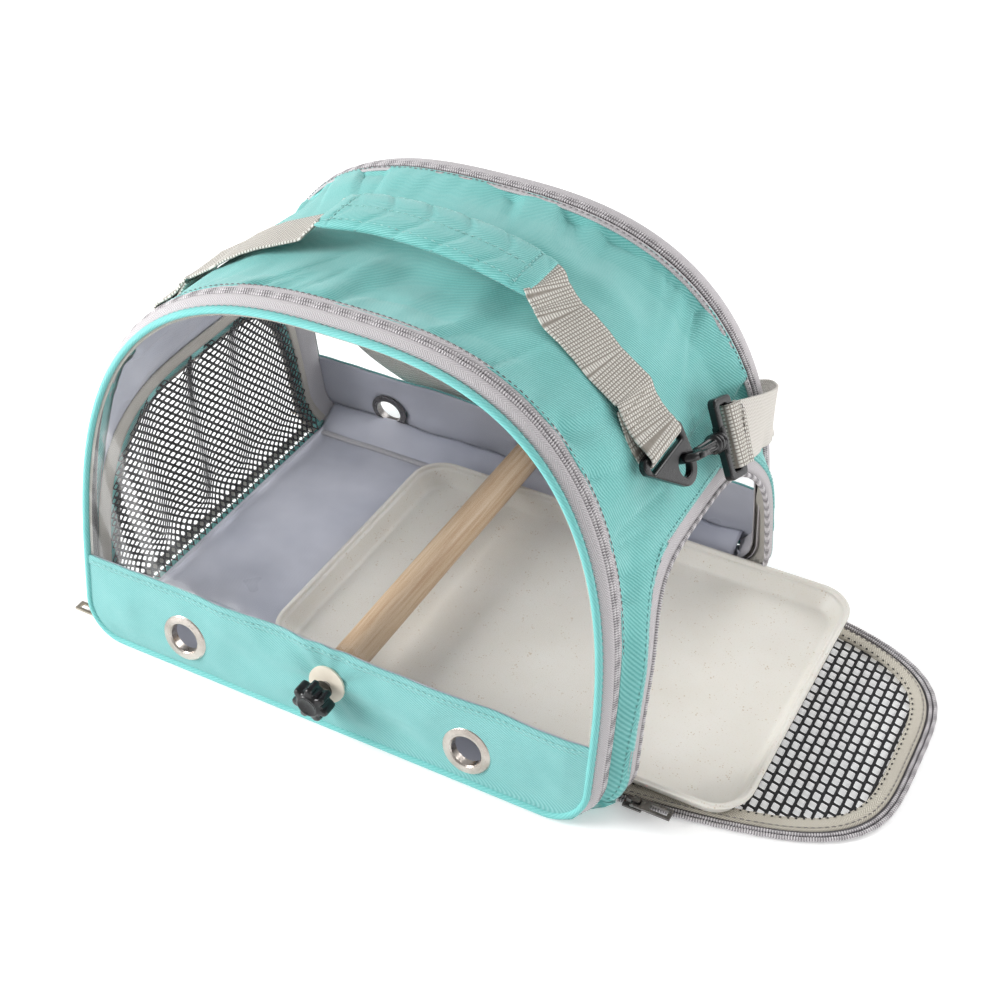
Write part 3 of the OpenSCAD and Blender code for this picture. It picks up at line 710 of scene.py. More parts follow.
def barrel_points(g, base, t_edge, under=0.0):
    """Grid over the barrel. The cloth sags between the zips and puckers next to their seams.

    under keeps the lining that much further in, where the folds are deepest.
    """
    nu, nv = 440, 90
    line = bag_line(g, base, nu)
    n = outward(line, True)
    s = steps_along(line)
    s = s * CLOTH_ROUND / s[-1]
    pts = np.zeros((nu, nv, 3))
    for i, ((x, z), (nx, nz)) in enumerate(zip(line, n)):
        limit = BASE_D / 2 - (2.5 + (t_edge - 2.5) * soft_step(z, 5.5, 9.5)) - z * SLOPE
        above = min(max((z - 18) / 40, 0), 1)
        for j, v in enumerate(np.linspace(-1, 1, nv)):
            v = math.copysign(1 - (1 - abs(v)) ** 1.35, v)
            y = v * limit
            d = -shell_sag(y, z) * above
            edge = (1 - abs(v)) * limit + t_edge - SHELL_EDGE
            near = min(edge / 7, 1) * math.exp(-edge / 26)
            fold = ripple(s[i] + edge * 0.35, 40 * (v > 0) + edge * 0.1, 0, 27, 2.0)
            amount = above * door_calm(x, y, z)
            more = near * 2.4 * ripple(s[i], 40 * (v > 0), 0, 11, 5.0)
            more -= near * 19.0 * max(fold + 0.02, 0) ** 1.25
            more -= near * 5.0 * max(1 - abs(fold - 0.12) / 0.16, 0) ** 1.5
            more += 8.0 * (ripple(x, y * 0.8, z, 72, 1.0) - 0.2) * min(edge / 25, 1)
            more += 2.8 * ripple(x, y, z, 32, 8.0) * min(edge / 20, 1)
            if more > 0:
                more *= 0.1 + 0.7 * soft_step(abs(y - HANDLE_Y), 22, 40)
            d += amount * more - under * amount * near
            pts[i, j] = (x + nx * d + end_flare(x, y, z), y, z + nz * d)
    return pts


def cut_openings(pts, grow, snap):
    """Moves points near an end opening's edge onto it, and says which faces stay."""
    tops = {1: DOOR_TOP, -1: END_TOP}
    edges = {side: end_line(grow - 1.2 * (side > 0), 600, top=top) for side, top in tops.items()}
    loops = {side: np.concatenate([e, [[e[-1][0], FLOOR_Z - 0.01], [e[0][0], FLOOR_Z - 0.01]]])
             for side, e in edges.items()}
    nu, nv = pts.shape[:2]
    inside = np.zeros((nu, nv), bool)
    for i in range(nu):
        for j in range(nv):
            x, y, z = pts[i, j]
            if abs(x) < END_ZONE or z > END_TOP + 30 or z < FLOOR_Z - 6:
                continue
            side = 1 if x > 0 else -1
            edge, closed, top = edges[side], loops[side], tops[side] + grow
            gap = np.hypot(closed[:, 0] - y, closed[:, 1] - z)
            k = int(np.argmin(gap))
            half = np.interp(z, edge[:300, 1], edge[:300, 0]) if z < top else -1
            within = z > FLOOR_Z and z < top and abs(y) < half
            if gap[k] < snap:
                y2, z2 = closed[k]
                wider = arch_half(z2, 0) - arch_half(z, 0) if z > ARCH_START else 0.0
                pts[i, j] = (x + math.copysign(wider, x) * (wider != 0), y2, z2)
                within = True
            inside[i, j] = within
    both = inside & np.roll(inside, -1, axis=0)
    return ~(both[:, :-1] & both[:, 1:])


def dart_groove(pts):
    """Sewn darts that run from the top of the doorway to both zips, on both ends."""
    lines = [((-32, 167), (-96, 170)), ((19, 169), (92, 168))]
    for i, j in np.ndindex(pts.shape[:2]):
        x, y, z = pts[i, j]
        if abs(x) < 100 or z < 130:
            continue
        for (ya, za), (yb, zb) in lines:
            f = min(max((y - ya) / (yb - ya), 0), 1)
            off = z - (za + f * (zb - za))
            along = abs(y - (ya + f * (yb - ya)))
            groove = 1.1 * math.exp(-(off / 1.8) ** 2 - (along / 6) ** 2)
            ridge = 0.6 * math.exp(-((off - 6) / 4) ** 2 - (along / 8) ** 2)
            pts[i, j, 0] += math.copysign(1.0, x) * (ridge - groove)


shell = barrel_points(4.0, 0.0, SHELL_EDGE)
dart_groove(shell)
shell_keep = cut_openings(shell, 0.0, 1.7)
outer = surface("barrel_cloth", shell, TEAL, "carrier", wrap_u=True, keep=shell_keep,
                replaces=("body_shell",))
thicken(outer, 1.4, -1.0)

inner = barrel_points(1.9, 1.7, SHELL_EDGE + 3, under=2.0)
inner_keep = cut_openings(inner, 5.0, 2.4)
lining = surface("barrel_lining", inner, LINING, "carrier", wrap_u=True, flip=True, keep=inner_keep,
                 replaces=("body_lining",))
thicken(lining, 0.4, 1.0)
print("barrel faces:", len(outer.data.polygons), "lining faces:", len(lining.data.polygons))

# %% [markdown]
# ## Floor
# A glossy sheet lies over the stiffener, with a taped seam along each side, and folds up against the rear
# panel. A flat plane would do for the board, but the sheet's soft waves are what catches the light. The
# sheet's colour is also a lighter copy of the lining, a painted highlight.

# %% Floor
nx, ny = 120, 110
floor = np.zeros((nx, ny, 3))
for i, x in enumerate(np.linspace(-167.4, 167.4, nx)):
    for j, y in enumerate(np.linspace(-138.0, 137.0, ny)):
        edge = min(164 - abs(x), 135.5 - abs(y))
        lift = 0.5 * ripple(x, y, 0, 60, 4.0) * min(max(edge, 0) / 20, 1)
        fold = 13.0 * soft_step(y, 108 + 3 * ripple(x, 0, 0, 50, 2.0), 139)
        fold *= 1 + 0.22 * ripple(x, y, 0, 26, 6.0)
        floor[i, j] = (x, y, FLOOR_Z - 0.35 + min(lift, 0.25) + fold)
sheet = surface("floor_sheet", floor, FLOOR_LINING_PAINTED_HIGHLIGHT, "carrier", replaces=("floor_lining",))
thicken(sheet, 0.5)
SEAM_SECTION = [(-2.6, -0.4), (-2.2, 0.6), (-0.4, 1.0), (1.4, 0.7), (2.6, 0.2), (2.4, -0.5)]
for where, y, lift in (("rear", 112.0, 1.3), ("front", -131.0, 0.6)):
    seam = np.array([(x, y + 0.8 * ripple(x, y, 0, 30, 1.0), FLOOR_Z + lift)
                     for x in np.linspace(-164, 160, 120)])
    sweep(f"floor_{where}_seam", seam, (0, 1, 0), (0, 0, 1), SEAM_SECTION, SEAM, "carrier",
          slot="grey_lining")

# %% [markdown]
# ## Piping, zip tapes and coils
# Each panel has a piped edge, a woven tape and a nylon coil, and the bag carries the other tape and coil.
# Every coil turn could be a loop of wire, which makes a heavy mesh. Here a tube swells at every turn, which
# looks the same from a hand's breadth away, and a dark strip under it is painted shade in the gap between the
# teeth.


# %% Zips
def coil_ring(name, path, out, depth, r, body, **rest):
    """Nylon coil: a tube whose radius swells at every turn."""
    s = steps_along(path)
    at = np.linspace(0, s[-1], int(s[-1] / (COIL_PITCH / 4)))
    path, out, depth = (np.stack([np.interp(at, s, line[:, k]) for k in range(3)], axis=1)
                        for line in (path, out, depth))
    swell = 1 + 0.2 * np.sin(2 * np.pi * at / COIL_PITCH)
    return sweep(name, path, out, depth, np.array(circle(r, 8)) * swell[:, None, None], COIL, body, **rest)


def stitch_row(name, path, out, mat, body, length=3.0, gap=1.5, r=0.34, **rest):
    """A row of thread stitches lying on a line, each a bent capsule sunk a little into the cloth."""
    out = np.broadcast_to(np.asarray(out, float), path.shape)
    s = steps_along(path)
    verts, faces, uvs = [], [], []
    for start in np.arange(gap, s[-1] - length, length + gap):
        at = np.linspace(start, start + length, 5)
        mid = np.stack([np.interp(at, s, path[:, k]) for k in range(3)], axis=1)
        up = np.stack([np.interp(at, s, out[:, k]) for k in range(3)], axis=1)
        along = mid[-1] - mid[0]
        along /= np.linalg.norm(along)
        first = len(verts)
        for k in range(5):
            lift = (math.sin(math.pi * k / 4) * 0.9 + 0.1) * r - 0.1
            width = r * (0.45 if k in (0, 4) else 1.0)
            side = np.cross(along, up[k])
            side /= np.linalg.norm(side)
            for c in range(6):
                a = 2 * math.pi * c / 6
                raised = up[k] * (lift + width * math.sin(a))
                verts.append(mid[k] + raised + side * width * math.cos(a) * 1.25)
        for k in range(4):
            for c in range(6):
                a, b = first + k * 6 + c, first + k * 6 + (c + 1) % 6
                faces.append([a, a + 6, b + 6, b])
                uvs.append([(k, c), (k + 1, c), (k + 1, c + 1), (k, c + 1)])
        faces.append([first + c for c in range(6)])
        faces.append([first + 24 + c for c in range(6)][::-1])
        uvs += [[(0, 0)] * 6, [(1, 1)] * 6]
    return add_mesh(name, verts, faces, mat, body, uvs, **rest)


def zip_tape_profile(rows):
    """Tape section from (distance out, depth) rows over its outer face, 0.8 mm thick."""
    fine = smooth_route(rows, 14)
    return np.concatenate([fine, fine[::-1] - [0.8, 0.0]])


def make_panel_zip(side, where, panel_body):
    """Both halves of one zip with the piping."""
    path, out, depth = seam_frame(side)
    bead = [(-0.5 + 2.1 * a, 2.3 * b) for a, b in circle(1.0, 16)]
    sweep(f"{where}_piping", path, out, depth, bead, PIPING, panel_body, closed=True,
          replaces=(f"{where}_panel_rim",))
    seam = path + out * 1.2 + depth * 1.5
    stitch_row(f"{where}_piping_stitches", seam, out, DARK_THREAD, panel_body, length=2.6, gap=1.6, r=0.28)
    path, out, depth = seam_frame(side, ZIP_LOW)
    rows = [(0.0, 2.0), (2.1, 3.2), (3.9, 5.2), (5.0, 6.9), (5.1, 8.2)]
    if side < 0:
        rows = [(-0.8, -3.2), (2.3, -2.2), (3.9, 1.0), (5.0, 5.0), (5.1, 8.2)]
    sweep(f"{where}_panel_zip_tape", path, out, depth, zip_tape_profile(rows), TAPE, panel_body,
          replaces=(f"{where}_panel_tape",))
    rows = [(4.4, 14.8), (5.0, 15.7), (5.3, 17.6), (5.1, 19.4), (4.4, 20.5)]
    sweep(f"{where}_body_zip_tape", path, out, depth, zip_tape_profile(rows), TAPE, "carrier",
          replaces=(f"{where}_body_tape",))
    # Under each coil lies a dark strip, painted shade in the gap between its teeth.
    for label, body, low, high in (("panel", panel_body, 8.3, 11.2), ("body", "carrier", 11.5, 14.4)):
        under = [(3.5, low), (3.7, (low + high) / 2), (3.5, high), (2.9, high), (2.9, low)]
        sweep(f"{where}_{label}_coil_gap_shade", path, out, depth, under, GAP_SHADE, body)
    for label, body, t in (("panel", panel_body, 9.8), ("body", "carrier", 12.9)):
        coil_ring(f"{where}_{label}_coil", path + out * 4.8 + depth * t, out, depth, 1.25, body)
    edge = path + out * 5.6 + depth * 18.6
    stitch_row(f"{where}_body_tape_stitches", edge, out, GREY_THREAD, "carrier", length=2.4, gap=1.6,
               r=0.26, slot="zip_tape")


make_panel_zip(1, "front", "front_panel")
make_panel_zip(-1, "rear", "carrier")
rows = [(-4.2, 1.4), (-3.9, 3.4), (-2.6, 7.0), (-0.6, 12.0), (0.9, 18.0), (1.4, 21.0), (0.6, 21.2),
        (-1.4, 12.0), (-4.8, 3.0)]
sweep("rear_inner_tape", *seam_frame(-1, ZIP_LOW), rows, SEAM, "carrier")
print("zip along one arch:", round(steps_along(seam_frame(1, ZIP_LOW)[0])[-1]), "mm")

# %% [markdown]
# ## Clear panels
# Each panel is PVC film over a cloth band, with a stitched hem, a narrow binding inside and two eyelets.
# Thick glass would bend what is seen through it, and real film hardly does. So the film is one thin sheet
# with gentle waves, and the band is drawn into creases round the knob and lies calm round the eyelets.


# %% Panels
def in_panel(x, up, out, side):
    """Point on a panel: x across, up along the slope, out towards the outside."""
    cos_a = 1 / math.sqrt(1 + SLOPE ** 2)
    sin_a = SLOPE * cos_a
    y = -BASE_D / 2 + up * sin_a - out * cos_a
    z = up * cos_a + out * sin_a
    return (x, y * side, z)


INSET = -1.6            # how far the film and band reach short of the panel's edge


def panel_sheet(low, high, nx, ny, bulge):
    """Grid across the panel between two heights, ending at its edge. bulge(x, z, half) is outwards."""
    pts = np.zeros((nx, ny, 3))
    line = bag_line(INSET, RIM_BASE - INSET, 1600)
    corner = line[(line[:, 0] > 0) & (line[:, 1] < ARCH_START)]
    for j, z in enumerate(np.linspace(low, high, ny)):
        if z < ARCH_START:
            half = np.interp(z, np.sort(corner[:, 1]), np.sort(corner[:, 0]))
        else:
            half = arch_half(z, INSET)
        for i, f in enumerate(np.linspace(-1, 1, nx)):
            x = half * math.sin(f * math.pi / 2 * 0.999)
            pts[i, j] = (x, front_y(-bulge(x, z, half), z), z)
    return pts


def film_bulge(x, z, half):
    rim = min(1.0, (half - abs(x)) / 25, (PANEL_H - z) / 30, (z - 50) / 18)
    rim = max(rim, 0)
    wave = 2.2 * ripple(x * 0.9, 0, z * 0.8, 90, 6.0) + 0.8 * ripple(x, 0, z, 34, 7.0)
    left = math.exp(-((x + 150) / 26) ** 2 - ((z - 90) / 45) ** 2)
    return rim * (0.8 * wave + 0.5 * left * math.sin(x * 0.25 + z * 0.09))


def band_bulge(x, z, half):
    """The band bellies out a little and is drawn into creases round the knob."""
    rim = max(min(1.0, (half - abs(x)) / 14, (z - 3) / 14), 0)
    belly = 1.3 * math.sin(math.pi * min(max((z - 3) / 60, 0), 1))
    dx, dz = x - PERCH_X, z - PERCH_Z
    dist = math.hypot(dx, dz)
    angle = math.atan2(dz, dx)
    pull = -1.4 * math.exp(-dist / 14)
    crease = 1.1 * math.exp(-dist / 60) * math.sin(angle * 9 + 0.6) * (1 - math.exp(-dist / 12))
    wave = 2.6 * ripple(x, 0, z * 1.6, 46, 9.0) + 0.8 * ripple(x + z * 0.8, 0, z, 17, 3.3)
    eyelet = min(math.hypot(abs(x) - at, z - EYELET_UP) for at in (EYELET_X, REAR_EYELET_X))
    wave *= (0.1 + 0.9 * soft_step(eyelet, 16, 34)) * (0.2 + 0.8 * soft_step(dist, 12, 34))
    return rim * (belly + wave + crease) + pull * rim


def clear_of_eyelets(pts, eyelet_x, side, reach):
    """Says which faces of a sheet lie outside both eyelets."""
    spots = [in_panel(s * eyelet_x, EYELET_UP, 0, side) for s in (-1, 1)]
    keep = np.ones((pts.shape[0] - 1, pts.shape[1] - 1), bool)
    for i, j in np.ndindex(keep.shape):
        x, y, z = pts[i:i + 2, j:j + 2].mean(axis=(0, 1))
        keep[i, j] = all(math.hypot(x - spot[0], z - spot[2]) >= reach for spot in spots)
    return keep


def make_panel(side, where, body, eyelet_x):
    film = panel_sheet(BAND_H - 5, PANEL_H - 2.2, 90, 80, film_bulge)
    band = panel_sheet(4.7, BAND_H, 170, 44, lambda x, z, half: 0.7 + band_bulge(x, z, half))
    back = panel_sheet(4.9, BAND_H - 0.6, 110, 30,
                       lambda x, z, half: -0.9 + 0.8 * band_bulge(x, z, half))
    hem = panel_sheet(BAND_H - 6, BAND_H + 0.2, 150, 8,
                      lambda x, z, half: 1.25 + band_bulge(x, z, half) - 0.5 * max(0, z - BAND_H + 1.2))
    for pts in (film, band, back, hem):
        pts[:, :, 1] *= side
    flip = side < 0
    surface(f"{where}_clear_film", film, FILM, body, flip=not flip, replaces=(f"{where}_window",))
    keep = clear_of_eyelets(band, eyelet_x, side, 12.5)
    back_keep = clear_of_eyelets(back, eyelet_x, side, 12.8)
    # The band takes the darker turquoise copy, painted shade.
    thicken(surface(f"{where}_band_cloth", band, TEAL_BAND_PAINTED_SHADE, body, flip=flip, keep=keep,
                    replaces=(f"{where}_band",)), 0.9)
    thicken(surface(f"{where}_band_lining", back, LINING, body, flip=flip, keep=back_keep), 0.5)
    thicken(surface(f"{where}_band_hem", hem, TEAL_BAND_PAINTED_SHADE, body, flip=flip), 0.7)
    z = BAND_H - 3.4
    half = arch_half(z, -3.5)
    row = np.array([(x, front_y(-(1.3 + band_bulge(x, z, arch_half(z, INSET))), z) * side, z)
                    for x in np.linspace(-half, half, 200)])
    leaning_out = (0.0, -side * 0.987, 0.157)
    stitch_row(f"{where}_hem_stitches", row, leaning_out, THREAD, body, length=2.9)
    rows = [(-2.0, 0.8), (-4.0, 0.9), (-4.4, 1.3), (-4.0, 1.7), (-2.0, 1.8)]
    sweep(f"{where}_inner_binding", *seam_frame(side, BAND_H - 2), rows, BINDING, body)


make_panel(1, "front", "front_panel", EYELET_X)
make_panel(-1, "rear", "carrier", REAR_EYELET_X)
print("panels: band", BAND_H, "mm high, eyelets", 2 * EYELET_X, "and", 2 * REAR_EYELET_X, "mm apart")

# %% [markdown]
# ## End openings
# The right doorway has a folded edge, a zip tape and a coil all round. The left one holds a black net behind
# a wide binding. Flat strips would float off the curved cloth here. So every ribbon is a row of lines at set
# distances from the opening's edge, each laid on the end of the bag and lifted by its own height.


# %% End openings
def end_surface(y, z, side):
    """Point on the outside of the bag's end at a depth and height."""
    x = arch_half(z, 4.0)
    if z < 30:
        x = PANEL_W / 2 - CORNER_R + math.sqrt(max(30.0 ** 2 - (30.0 - z) ** 2, 0))
    sag = shell_sag(y, z) * min(max((z - 18) / 40, 0), 1)
    flare = end_flare(x, y, z) if side > 0 else 0.0
    return np.array([(x - sag + flare) * side, y, z])


def on_end(y, z, side, lift=0.0):
    """Point on the bag's end lifted outwards, with the outward direction."""
    along = end_surface(y + 0.5, z, side) - end_surface(y - 0.5, z, side)
    up = end_surface(y, z + 0.5, side) - end_surface(y, z - 0.5, side)
    n = np.cross(along, up) * side
    n /= np.linalg.norm(n)
    return end_surface(y, z, side) + n * lift, n


def towards_middle(path, out):
    """Unit directions that lie in the cloth and point from a path to the middle of what it goes round."""
    inward = np.cross(out, directions(path))
    inward /= np.linalg.norm(inward, axis=1, keepdims=True)
    middle = path.mean(axis=0) - path
    return -inward if np.einsum("ij,ij->i", inward, middle).mean() < 0 else inward


def end_frame(grow, side, count=260, low=0.0, lift=0.0):
    """Path round an end opening with directions: inwards over the cloth, and out of the bag."""
    line = end_line(grow, count, top=DOOR_TOP if side > 0 else END_TOP)
    line = line[line[:, 1] >= FLOOR_Z + low]
    both = [on_end(y, z, side, lift) for y, z in line]
    path = np.array([b[0] for b in both])
    out = np.array([b[1] for b in both])
    return path, towards_middle(path, out), out


def end_ribbon(name, grows, lifts, side, mat, low=0.0, thick=1.0, **rest):
    """Ribbon round an end opening: a row of distances from the edge, each with its own lift off the cloth."""
    lines = [end_frame(g, side, 300, low, lift)[0] for g, lift in zip(grows, lifts)]
    count = min(len(line) for line in lines)
    pts = np.stack([resample(line, count) for line in lines], axis=1)
    ribbon = surface(name, pts, mat, "carrier", flip=side < 0, **rest)
    return thicken(ribbon, thick, 0.0)


end_ribbon("doorway_zip_tape", (0.6, -0.8, -2.5, -6.0, -9.0), (0.1, 0.4, 0.6, 0.6, 0.5), 1, TAPE,
           replaces=("side_opening_tape",))
coil_ring("doorway_coil", *end_frame(-10.6, 1, lift=0.7), 1.5, "carrier")
rows = [(-3.0, -0.6), (-2.6, 0.4), (-1.2, 1.0), (0.8, 1.3), (2.0, 1.1), (2.4, 0.4), (1.8, -0.6)]
sweep("doorway_folded_edge", *end_frame(1.6, 1), rows, TEAL, "carrier")
# A dark strip of painted shadow in the gap between the folded edge and the zip tape.
rows = [(-0.6, -0.3), (-0.4, 0.25), (0.4, 0.15), (0.6, -0.3)]
sweep("doorway_shadow_seam", *end_frame(-1.3, 1, lift=0.7), rows, GAP_SHADE, "carrier")
path, inward, out = end_frame(1.6, 1, lift=1.35)
stitch_row("doorway_stitches", path, out, DARK_THREAD, "carrier", length=2.5, gap=1.6, r=0.27)
end_ribbon("doorway_inner_binding", (-6.5, -5.0, 0.0, 6.0, 11.0), (-1.3, -2.4, -3.2, -3.4, -3.2), 1,
           BINDING, thick=0.8)

end_ribbon("left_window_binding_cloth", (0.8, -1.0, -5.0, -10.0, -13.0), (-2.4, -0.9, -0.6, -0.9, -2.0), -1,
           BINDING, thick=1.4, replaces=("left_window_binding",))
path, inward, out = end_frame(-2.0, -1, lift=0.1)
stitch_row("left_binding_stitches", path, out, GREY_THREAD, "carrier", length=2.6, gap=1.6, r=0.27)
end_ribbon("left_window_facing", (3.0, 0.0, -3.0, -6.0, -8.5), (-2.9, -3.1, -3.3, -3.3, -3.1), -1, TEAL,
           thick=0.6)
end_ribbon("left_window_top_tape", (9.0, 6.5, 3.5, 1.0, -1.5), (-3.3, -4.0, -4.6, -4.8, -4.4), -1, BINDING,
           low=1.0, thick=0.6)
sill = np.array([(-176.5, y, 8.0) for y in np.linspace(-112, 112, 60)])
rows = [(-3.0, -0.2), (-2.0, 0.7), (3.0, 0.6), (5.0, 0.0), (4.0, -0.6), (-2.0, -0.8)]
sweep("left_window_sill", sill, (0, 0, 1), (-1, 0, 0), rows, BINDING, "carrier")
print("seam round the left window:", round(steps_along(path)[-1]), "mm")

# %% [markdown]
# ## Nets
# Both nets are coated cord, with softened corners round each opening, and pulled a little askew. A picture
# of a net with see-through holes has no thickness from the side. So every opening is cut in a real mesh,
# as a ring with a slight bevel. The left net hangs in folds, and the flap's lies flat.


# %% Nets
def inside_line(edge, a, b):
    """Whether a point lies inside a closed outline."""
    hit = False
    k = len(edge) - 1
    for m in range(len(edge)):
        if (edge[m][1] > b) != (edge[k][1] > b):
            cut = (edge[k][0] - edge[m][0]) * (b - edge[m][1]) / (edge[k][1] - edge[m][1]) + edge[m][0]
            hit = hit != (a < cut)
        k = m
    return hit


def net(name, place, edge, lows, highs, pitch, thread, mat, body, skew, **rest):
    """Net over an outline in two flat directions a and b.

    place(a, b) gives the point in space and its normal. skew slants the rows.
    """
    (a0, b0), (a1, b1) = lows, highs
    verts, faces, uvs, index = [], [], [], {}
    t, r = thread / 2, min(pitch) * 0.08
    corners = [(-1, -1), (1, -1), (1, 1), (-1, 1)]

    def point(a, b, level):
        key = (round(a, 3), round(b, 3), level)
        if key not in index:
            index[key] = len(verts)
            p, n = place(a, b)
            verts.append(np.asarray(p) + np.asarray(n) * level)
        return index[key]

    for i in range(int((a1 - a0) / pitch[0]) + 1):
        for j in range(int((b1 - b0) / pitch[1]) + 1):
            cb = b0 + (j + 0.5) * pitch[1]
            ca = a0 + (i + 0.5) * pitch[0] + ((j * pitch[1] * skew) % pitch[0])
            if not inside_line(edge, ca, cb):
                continue
            ha, hb = pitch[0] / 2, pitch[1] / 2
            hole = []
            for m, (sa, sb) in enumerate(corners):
                steps = [(0, r), (r, 0)] if m % 2 == 0 else [(r, 0), (0, r)]
                hole += [(sa * (ha - t - da), sb * (hb - t - db)) for da, db in steps]
            wide = [(a + math.copysign(t * 0.55, a), b + math.copysign(t * 0.55, b)) for a, b in hole]
            rings = [[point(ca + a - b * skew, cb + b, level) for a, b in row]
                     for row, level in ((wide, 0.45), (hole, 0.0), (wide, -0.45))]
            outer = [point(ca + sa * ha - sb * hb * skew, cb + sb * hb, 0.0) for sa, sb in corners]
            for upper, lower in (rings[:2], rings[1:]):
                for m in range(8):
                    n = (m + 1) % 8
                    faces.append([upper[m], upper[n], lower[n], lower[m]])
            for ring, turn in ((rings[0], 1), (rings[2], -1)):
                for m in range(8):
                    n = (m + 1) % 8
                    loop = [outer[m // 2], ring[n], ring[m]]
                    if outer[m // 2] != outer[n // 2]:
                        loop.insert(1, outer[n // 2])
                    faces.append(loop[::turn])
            uvs += [[(ca + k, cb + m) for k in range(len(face))] for m, face in enumerate(faces[len(uvs):])]
    return add_mesh(name, verts, faces, mat, body, uvs, **rest)


DIAGONAL = 0.7071       # the left net's threads run at 45 degrees
LEFT_PITCH, LEFT_CORD = 4.6, 1.85


def left_net_place(y, z):
    """Point on the left net, which hangs in soft folds behind the binding, and its direction."""
    fold = 4.0 * math.sin(y * 0.13 + 0.8 + z * 0.015) * math.exp(-((y + 25) / 70) ** 2) * min(z / 30, 1)
    return on_end(y, z, -1, lift=-5.6 + fold + ripple(0, y, z, 45, 2.0))


edge = end_line(-3.0, 120)
edge = np.concatenate([edge, [[edge[-1][0], FLOOR_Z], [edge[0][0], FLOOR_Z]]])
turned = np.stack([edge[:, 0] + edge[:, 1], edge[:, 1] - edge[:, 0]], axis=1) * DIAGONAL
net("left_window_net", lambda p, q: left_net_place((p - q) * DIAGONAL, (p + q) * DIAGONAL), turned,
    (-80, -80), (192, 192), (LEFT_PITCH, LEFT_PITCH), LEFT_CORD, NET, "carrier", skew=0.0,
    replaces=("left_mesh_window",))
print("left net openings:", round(LEFT_PITCH - LEFT_CORD, 2), "mm wide")

# %% [markdown]
# ## Flap
# The flap has dropped open and lies flat: net, a taupe binding stitched in black, and the outer zip tape
# with its coil. It is built where it lies, in its own two directions, so that the hinge can lift all of it.


# %% Flap
def on_flap(a, b, lift=0.0):
    """Point on the flap: a is depth, b the distance from the hinge."""
    wave = 0.35 * ripple(a, b, 0, 50, 5.0)
    return np.array([FLAP_X + b, a, 1.9 + wave + lift]), np.array([0.0, 0.0, 1.0])


def flap_line(grow, count=260, low=0.5):
    """Outline of the flap: depth, and distance from the hinge."""
    line = end_line(grow, count, top=FLOOR_Z + FLAP_LEN)
    line = line[line[:, 1] >= FLOOR_Z + low]
    line[:, 1] -= FLOOR_Z
    return line


def flap_frame(grow, lift=0.0):
    path = np.array([on_flap(a, b, lift)[0] for a, b in flap_line(grow)])
    out = np.tile([0.0, 0.0, 1.0], (len(path), 1))
    return path, towards_middle(path, out), out


coil_ring("flap_zip_coil", *flap_frame(-8.8), 1.25, "flap", replaces=("flap_coil",))
coil_ring("flap_zip_coil_inner", *flap_frame(-11.7, lift=0.2), 1.1, "flap")
# A dark strip under both flap coils, painted shade in the gaps between their turns.
rows = [(0.0, 0.2), (2.5, 0.3), (6.6, 0.2), (6.6, -0.9), (2.5, -1.0), (0.0, -0.7)]
sweep("flap_zip_tape_painted_shade", *flap_frame(-9.0), rows, GAP_SHADE, "flap")
rows = [(0.0, 0.4), (0.8, 1.3), (3.0, 1.8), (7.0, 1.7), (9.6, 1.1), (10.4, 0.0), (9.8, -0.9), (5.0, -1.4),
        (0.5, -1.1)]
sweep("flap_binding_cloth", *flap_frame(-14.0), rows, TAUPE, "flap", replaces=("flap_binding",))
path, inward, out = flap_frame(-22.3, lift=1.6)
stitch_row("flap_binding_stitches", path, out, NET, "flap", length=1.4, gap=3.2, r=0.42)
path, inward, out = flap_frame(-15.8, lift=1.75)
stitch_row("flap_outer_stitches", path, out, GREY_THREAD, "flap", length=2.6, r=0.26)
hinge = np.array([(FLAP_X + 5.6, a, 1.9) for a in np.linspace(-104, 104, 60)])
rows = [(-5.4, 0.2), (-4.5, 1.0), (3.4, 1.2), (4.6, 0.4), (3.4, -1.0), (-4.8, -1.0)]
sweep("flap_hinge_hem", hinge, (1, 0, 0), (0, 0, 1), rows, BINDING, "flap")
edge = flap_line(-18.0, 140, low=0.0)
edge = np.concatenate([edge, [[edge[-1][0], 6.0], [edge[0][0], 6.0]]])
net("flap_net", on_flap, edge, (-108, 8), (108, 152), (7.6, 6.2), 2.0, NET, "flap", skew=0.22,
    replaces=("flap_mesh",))
strip = np.array([(174.0, a, 1.3) for a in np.linspace(-111, 111, 60)])
rows = [(-10.0, 0.3), (-8.0, 0.6), (7.5, 0.5), (9.4, 0.0), (7.5, -0.7), (-9.0, -0.7)]
sweep("flap_hinge_tape", strip, (1, 0, 0), (0, 0, 1), rows, BINDING, "carrier",
      replaces=("flap_hinge_strip",))
print("outer seam of the flap:", round(steps_along(path)[-1]), "mm")

# %% [markdown]
# ## Perch
# A beech dowel with rounded ends, turned about its own axis. A plain cylinder has sharp ends, which no
# sanded dowel has, and the rows of the turned outline also give the grain its direction.

# %% Perch
half = -front_y(0, PERCH_Z) - 4.0
rows = [(-half, 0.01), (-half, 6.0), (-half, PERCH_R - 1.4), (-half + 0.4, PERCH_R - 0.5),
        (-half + 1.3, PERCH_R)]
rows += [(y, PERCH_R) for y in np.linspace(-half + 6, half - 6, 40)]
rows += [(-y, r) for y, r in rows[:5][::-1]]
dowel = np.zeros((len(rows), 72, 3))
for i, (y, r) in enumerate(rows):
    for k in range(72):
        a = 2 * math.pi * k / 72
        dowel[i, k] = (PERCH_X + r * math.cos(a), y, PERCH_Z + r * math.sin(a))
surface("perch_wood", dowel, WOOD, "carrier", wrap_v=True, replaces=("perch_dowel",))
print("perch:", round(2 * half), "mm long")

# %% [markdown]
# ## Tray
# A moulded tray with flared walls and a turned-out rim. A box with rounded edges would miss the rim's lip,
# where the light runs along. So rounded rectangles are stacked from the inside, over the rim and down the
# outside, and skinned. A row gives the inset from the rim, the corner radius and the height. The flat
# middle has an inset at the ends and another at the sides.

